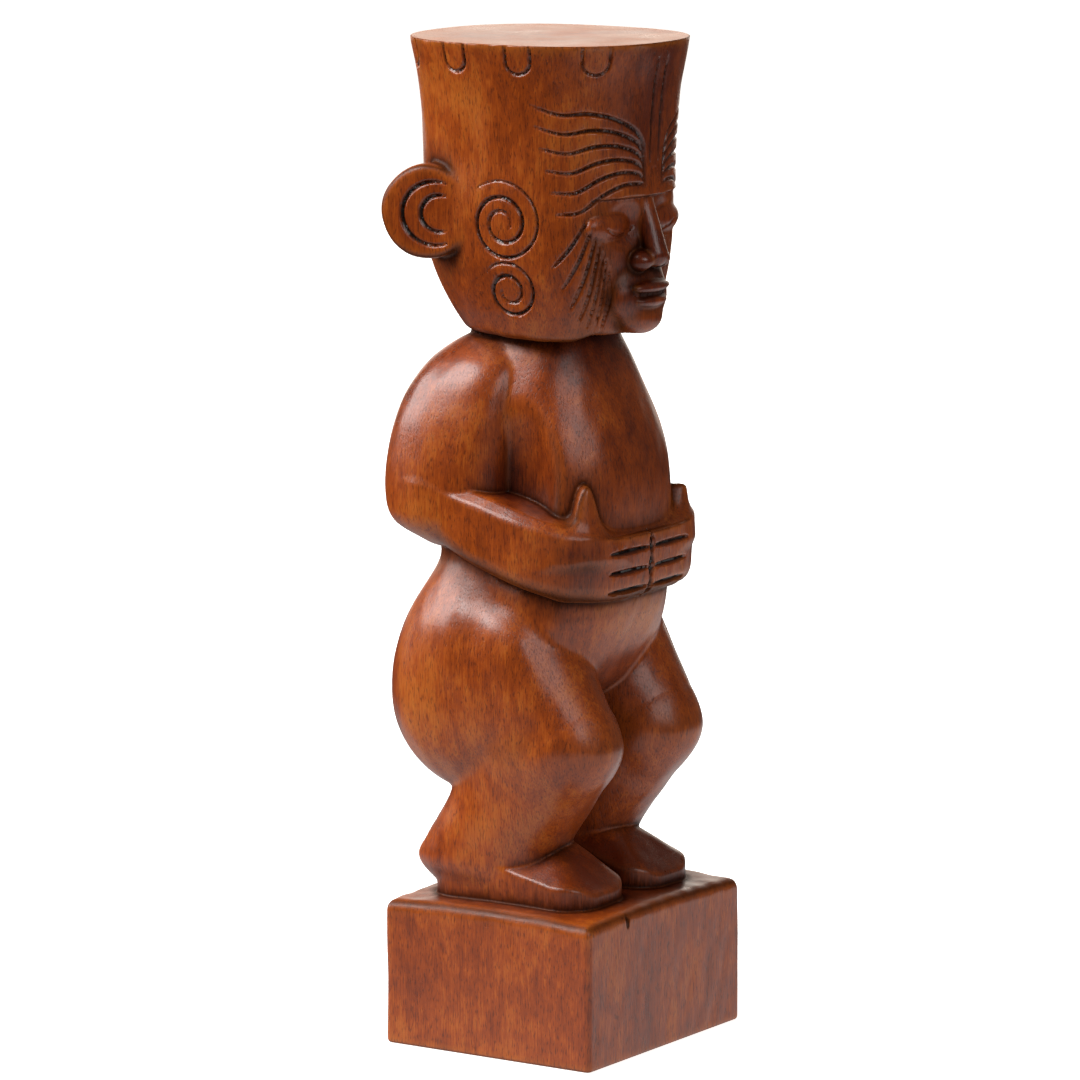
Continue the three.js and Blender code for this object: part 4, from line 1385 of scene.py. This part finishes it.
@dataclass(frozen=True)
class Camera:
    """The camera: where the photograph was taken from, with lengths in metres."""

    azimuth: float = math.radians(56.8)
    distance: float = 1.9484
    height: float = 0.4696
    pitch: float = math.radians(9.323)
    image: float = 1080.0
    focal: float = 6633.2
    aside: float = 23.76
    sensor: float = 36.0

    def build(self) -> None:
        """Adds the camera and makes it the scene's own."""
        sin, cos = math.sin(self.azimuth), math.cos(self.azimuth)
        right = Vector((cos, -sin, 0.0))
        level = Vector((sin, cos, 0.0))
        up = Vector((0.0, 0.0, 1.0))
        ahead = level * math.cos(self.pitch) - up * math.sin(self.pitch)
        top = up * math.cos(self.pitch) + level * math.sin(self.pitch)
        yaw = math.atan(self.aside / self.focal)
        look = ahead * math.cos(yaw) - right * math.sin(yaw)
        across = right * math.cos(yaw) + ahead * math.sin(yaw)
        data = bpy.data.cameras.new("camera")
        data.sensor_width = self.sensor
        data.lens = self.focal * self.sensor / self.image
        data.clip_end = 50.0
        camera = bpy.data.objects.new("camera", data)
        bpy.context.scene.collection.objects.link(camera)
        turn = Matrix((across, top, -look)).transposed().to_4x4()
        place = Vector((-sin * self.distance, -cos * self.distance, self.height))
        camera.matrix_world = Matrix.Translation(place) @ turn
        bpy.context.scene.camera = camera


@dataclass
class Studio:
    """A plain pale floor, a pale surround and soft lights."""

    floor_size: float = 24.0
    paper: str = "#fdfcfa"
    room: float = 0.12
    room_colour: str = "#ffe9d4"
    bounce_place: Triple = (0.12, -0.22, 0.0)
    bounce: tuple[float, float] = (0.85, 0.03)
    bounce_reach: tuple[float, float] = (0.3, 0.75)
    glow: float = 0.9
    lights: tuple[Softbox, ...] = (
        Softbox("key", (-1.25, 0.98, 1.86), (0.0, 0.0, 0.16), (1.35, 1.15), 56.0),
        Softbox("side", (-0.75, 2.04, 1.15), (0.0, 0.0, 0.16), (1.5, 1.2), 38.0),
        Softbox("front", (-0.62, -1.71, 1.2), (0.0, 0.0, 0.15), (1.25, 1.0), 11.0),
        Softbox("backdrop", (1.75, 1.15, 0.5), (0.0, 0.0, 0.3), (2.0, 1.0), 11.0, "#fff0e2"),
    )

    def build(self) -> None:
        """Adds floor, surround and lights."""
        bpy.ops.object.select_all(action="DESELECT")
        bpy.ops.mesh.primitive_plane_add(size=self.floor_size, location=(0.0, 0.0, 0.0))
        floor = bpy.context.view_layer.objects.active
        floor.name = "floor"
        floor.data.materials.append(self._paper())
        for light in self.lights:
            light.build()
        self._surround()

    def _paper(self) -> bpy.types.Material:
        """Makes the floor's matt white paper. To the camera it also glows to stay evenly white; to all other
        rays it is only a glow that fades away from near the statue's base, standing in for the light that
        the paper bounces.

        Returns:
            The material.
        """
        material = bpy.data.materials.new("matt_white_paper")
        material.use_nodes = True
        tree = material.node_tree
        tree.nodes.clear()
        seen = add_node(tree, "ShaderNodeLightPath").outputs["Is Camera Ray"]
        far = add_node(tree, "ShaderNodeVectorMath", {"operation": "DISTANCE", 1: self.bounce_place},
                       {0: add_node(tree, "ShaderNodeTexCoord").outputs["Object"]}).outputs["Value"]
        fall = {"From Min": self.bounce_reach[0], "From Max": self.bounce_reach[1],
                "To Min": self.bounce[0], "To Max": self.bounce[1]}
        fade = add_node(tree, "ShaderNodeMapRange", fall, {"Value": far}).outputs["Result"]
        dim = add_node(tree, "ShaderNodeEmission", None, {"Color": fade})
        paper = add_node(tree, "ShaderNodeBsdfDiffuse", {"Color": linear(self.paper)})
        glow = add_node(tree, "ShaderNodeEmission", {"Color": linear(self.paper), "Strength": self.glow})
        bright = add_node(tree, "ShaderNodeAddShader", None, {0: paper.outputs[0], 1: glow.outputs[0]})
        both = add_node(tree, "ShaderNodeMixShader", None,
                        {0: seen, 1: dim.outputs[0], 2: bright.outputs[0]})
        add_node(tree, "ShaderNodeOutputMaterial", None, {"Surface": both.outputs[0]})
        return material

    def _surround(self) -> None:
        """Sets the surround: white behind everything, and a dim room for light and gloss."""
        world = bpy.data.worlds.new("surround")
        bpy.context.scene.world = world
        world.use_nodes = True
        tree = world.node_tree
        tree.nodes.clear()
        seen = add_node(tree, "ShaderNodeLightPath").outputs["Is Camera Ray"]
        room = add_node(tree, "ShaderNodeBackground",
                        {"Color": linear(self.room_colour), "Strength": self.room})
        white = add_node(tree, "ShaderNodeBackground", {"Color": linear(self.paper), "Strength": 1.0})
        both = add_node(tree, "ShaderNodeMixShader", None,
                        {0: seen, 1: room.outputs[0], 2: white.outputs[0]})
        add_node(tree, "ShaderNodeOutputWorld", None, {"Surface": both.outputs[0]})


def main() -> None:
    """Builds the studio and the statue."""
    logging.basicConfig(level=logging.INFO, format="%(asctime)s %(name)s %(message)s")
    Camera().build()
    Studio().build()
    LOG.info("studio: floor, surround, lights and camera")
    figure = Figure()
    carving = Carving(figure)
    carving.draw()
    LOG.info("carving: %d lines on each side", len(carving.grooves))
    form = Form(figure, Plinth(), carving, HandTooling())
    fineness = Fineness.FINAL
    piece = CarvedStatue(form, StainedHardwood(), fineness).build()
    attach(piece, "root")
    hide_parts(NODE)
    LOG.info("statue: %d triangles", len(piece.data.polygons))
    bpy.context.scene.view_settings.view_transform = "Standard"


if __name__ == "__main__":
    main()
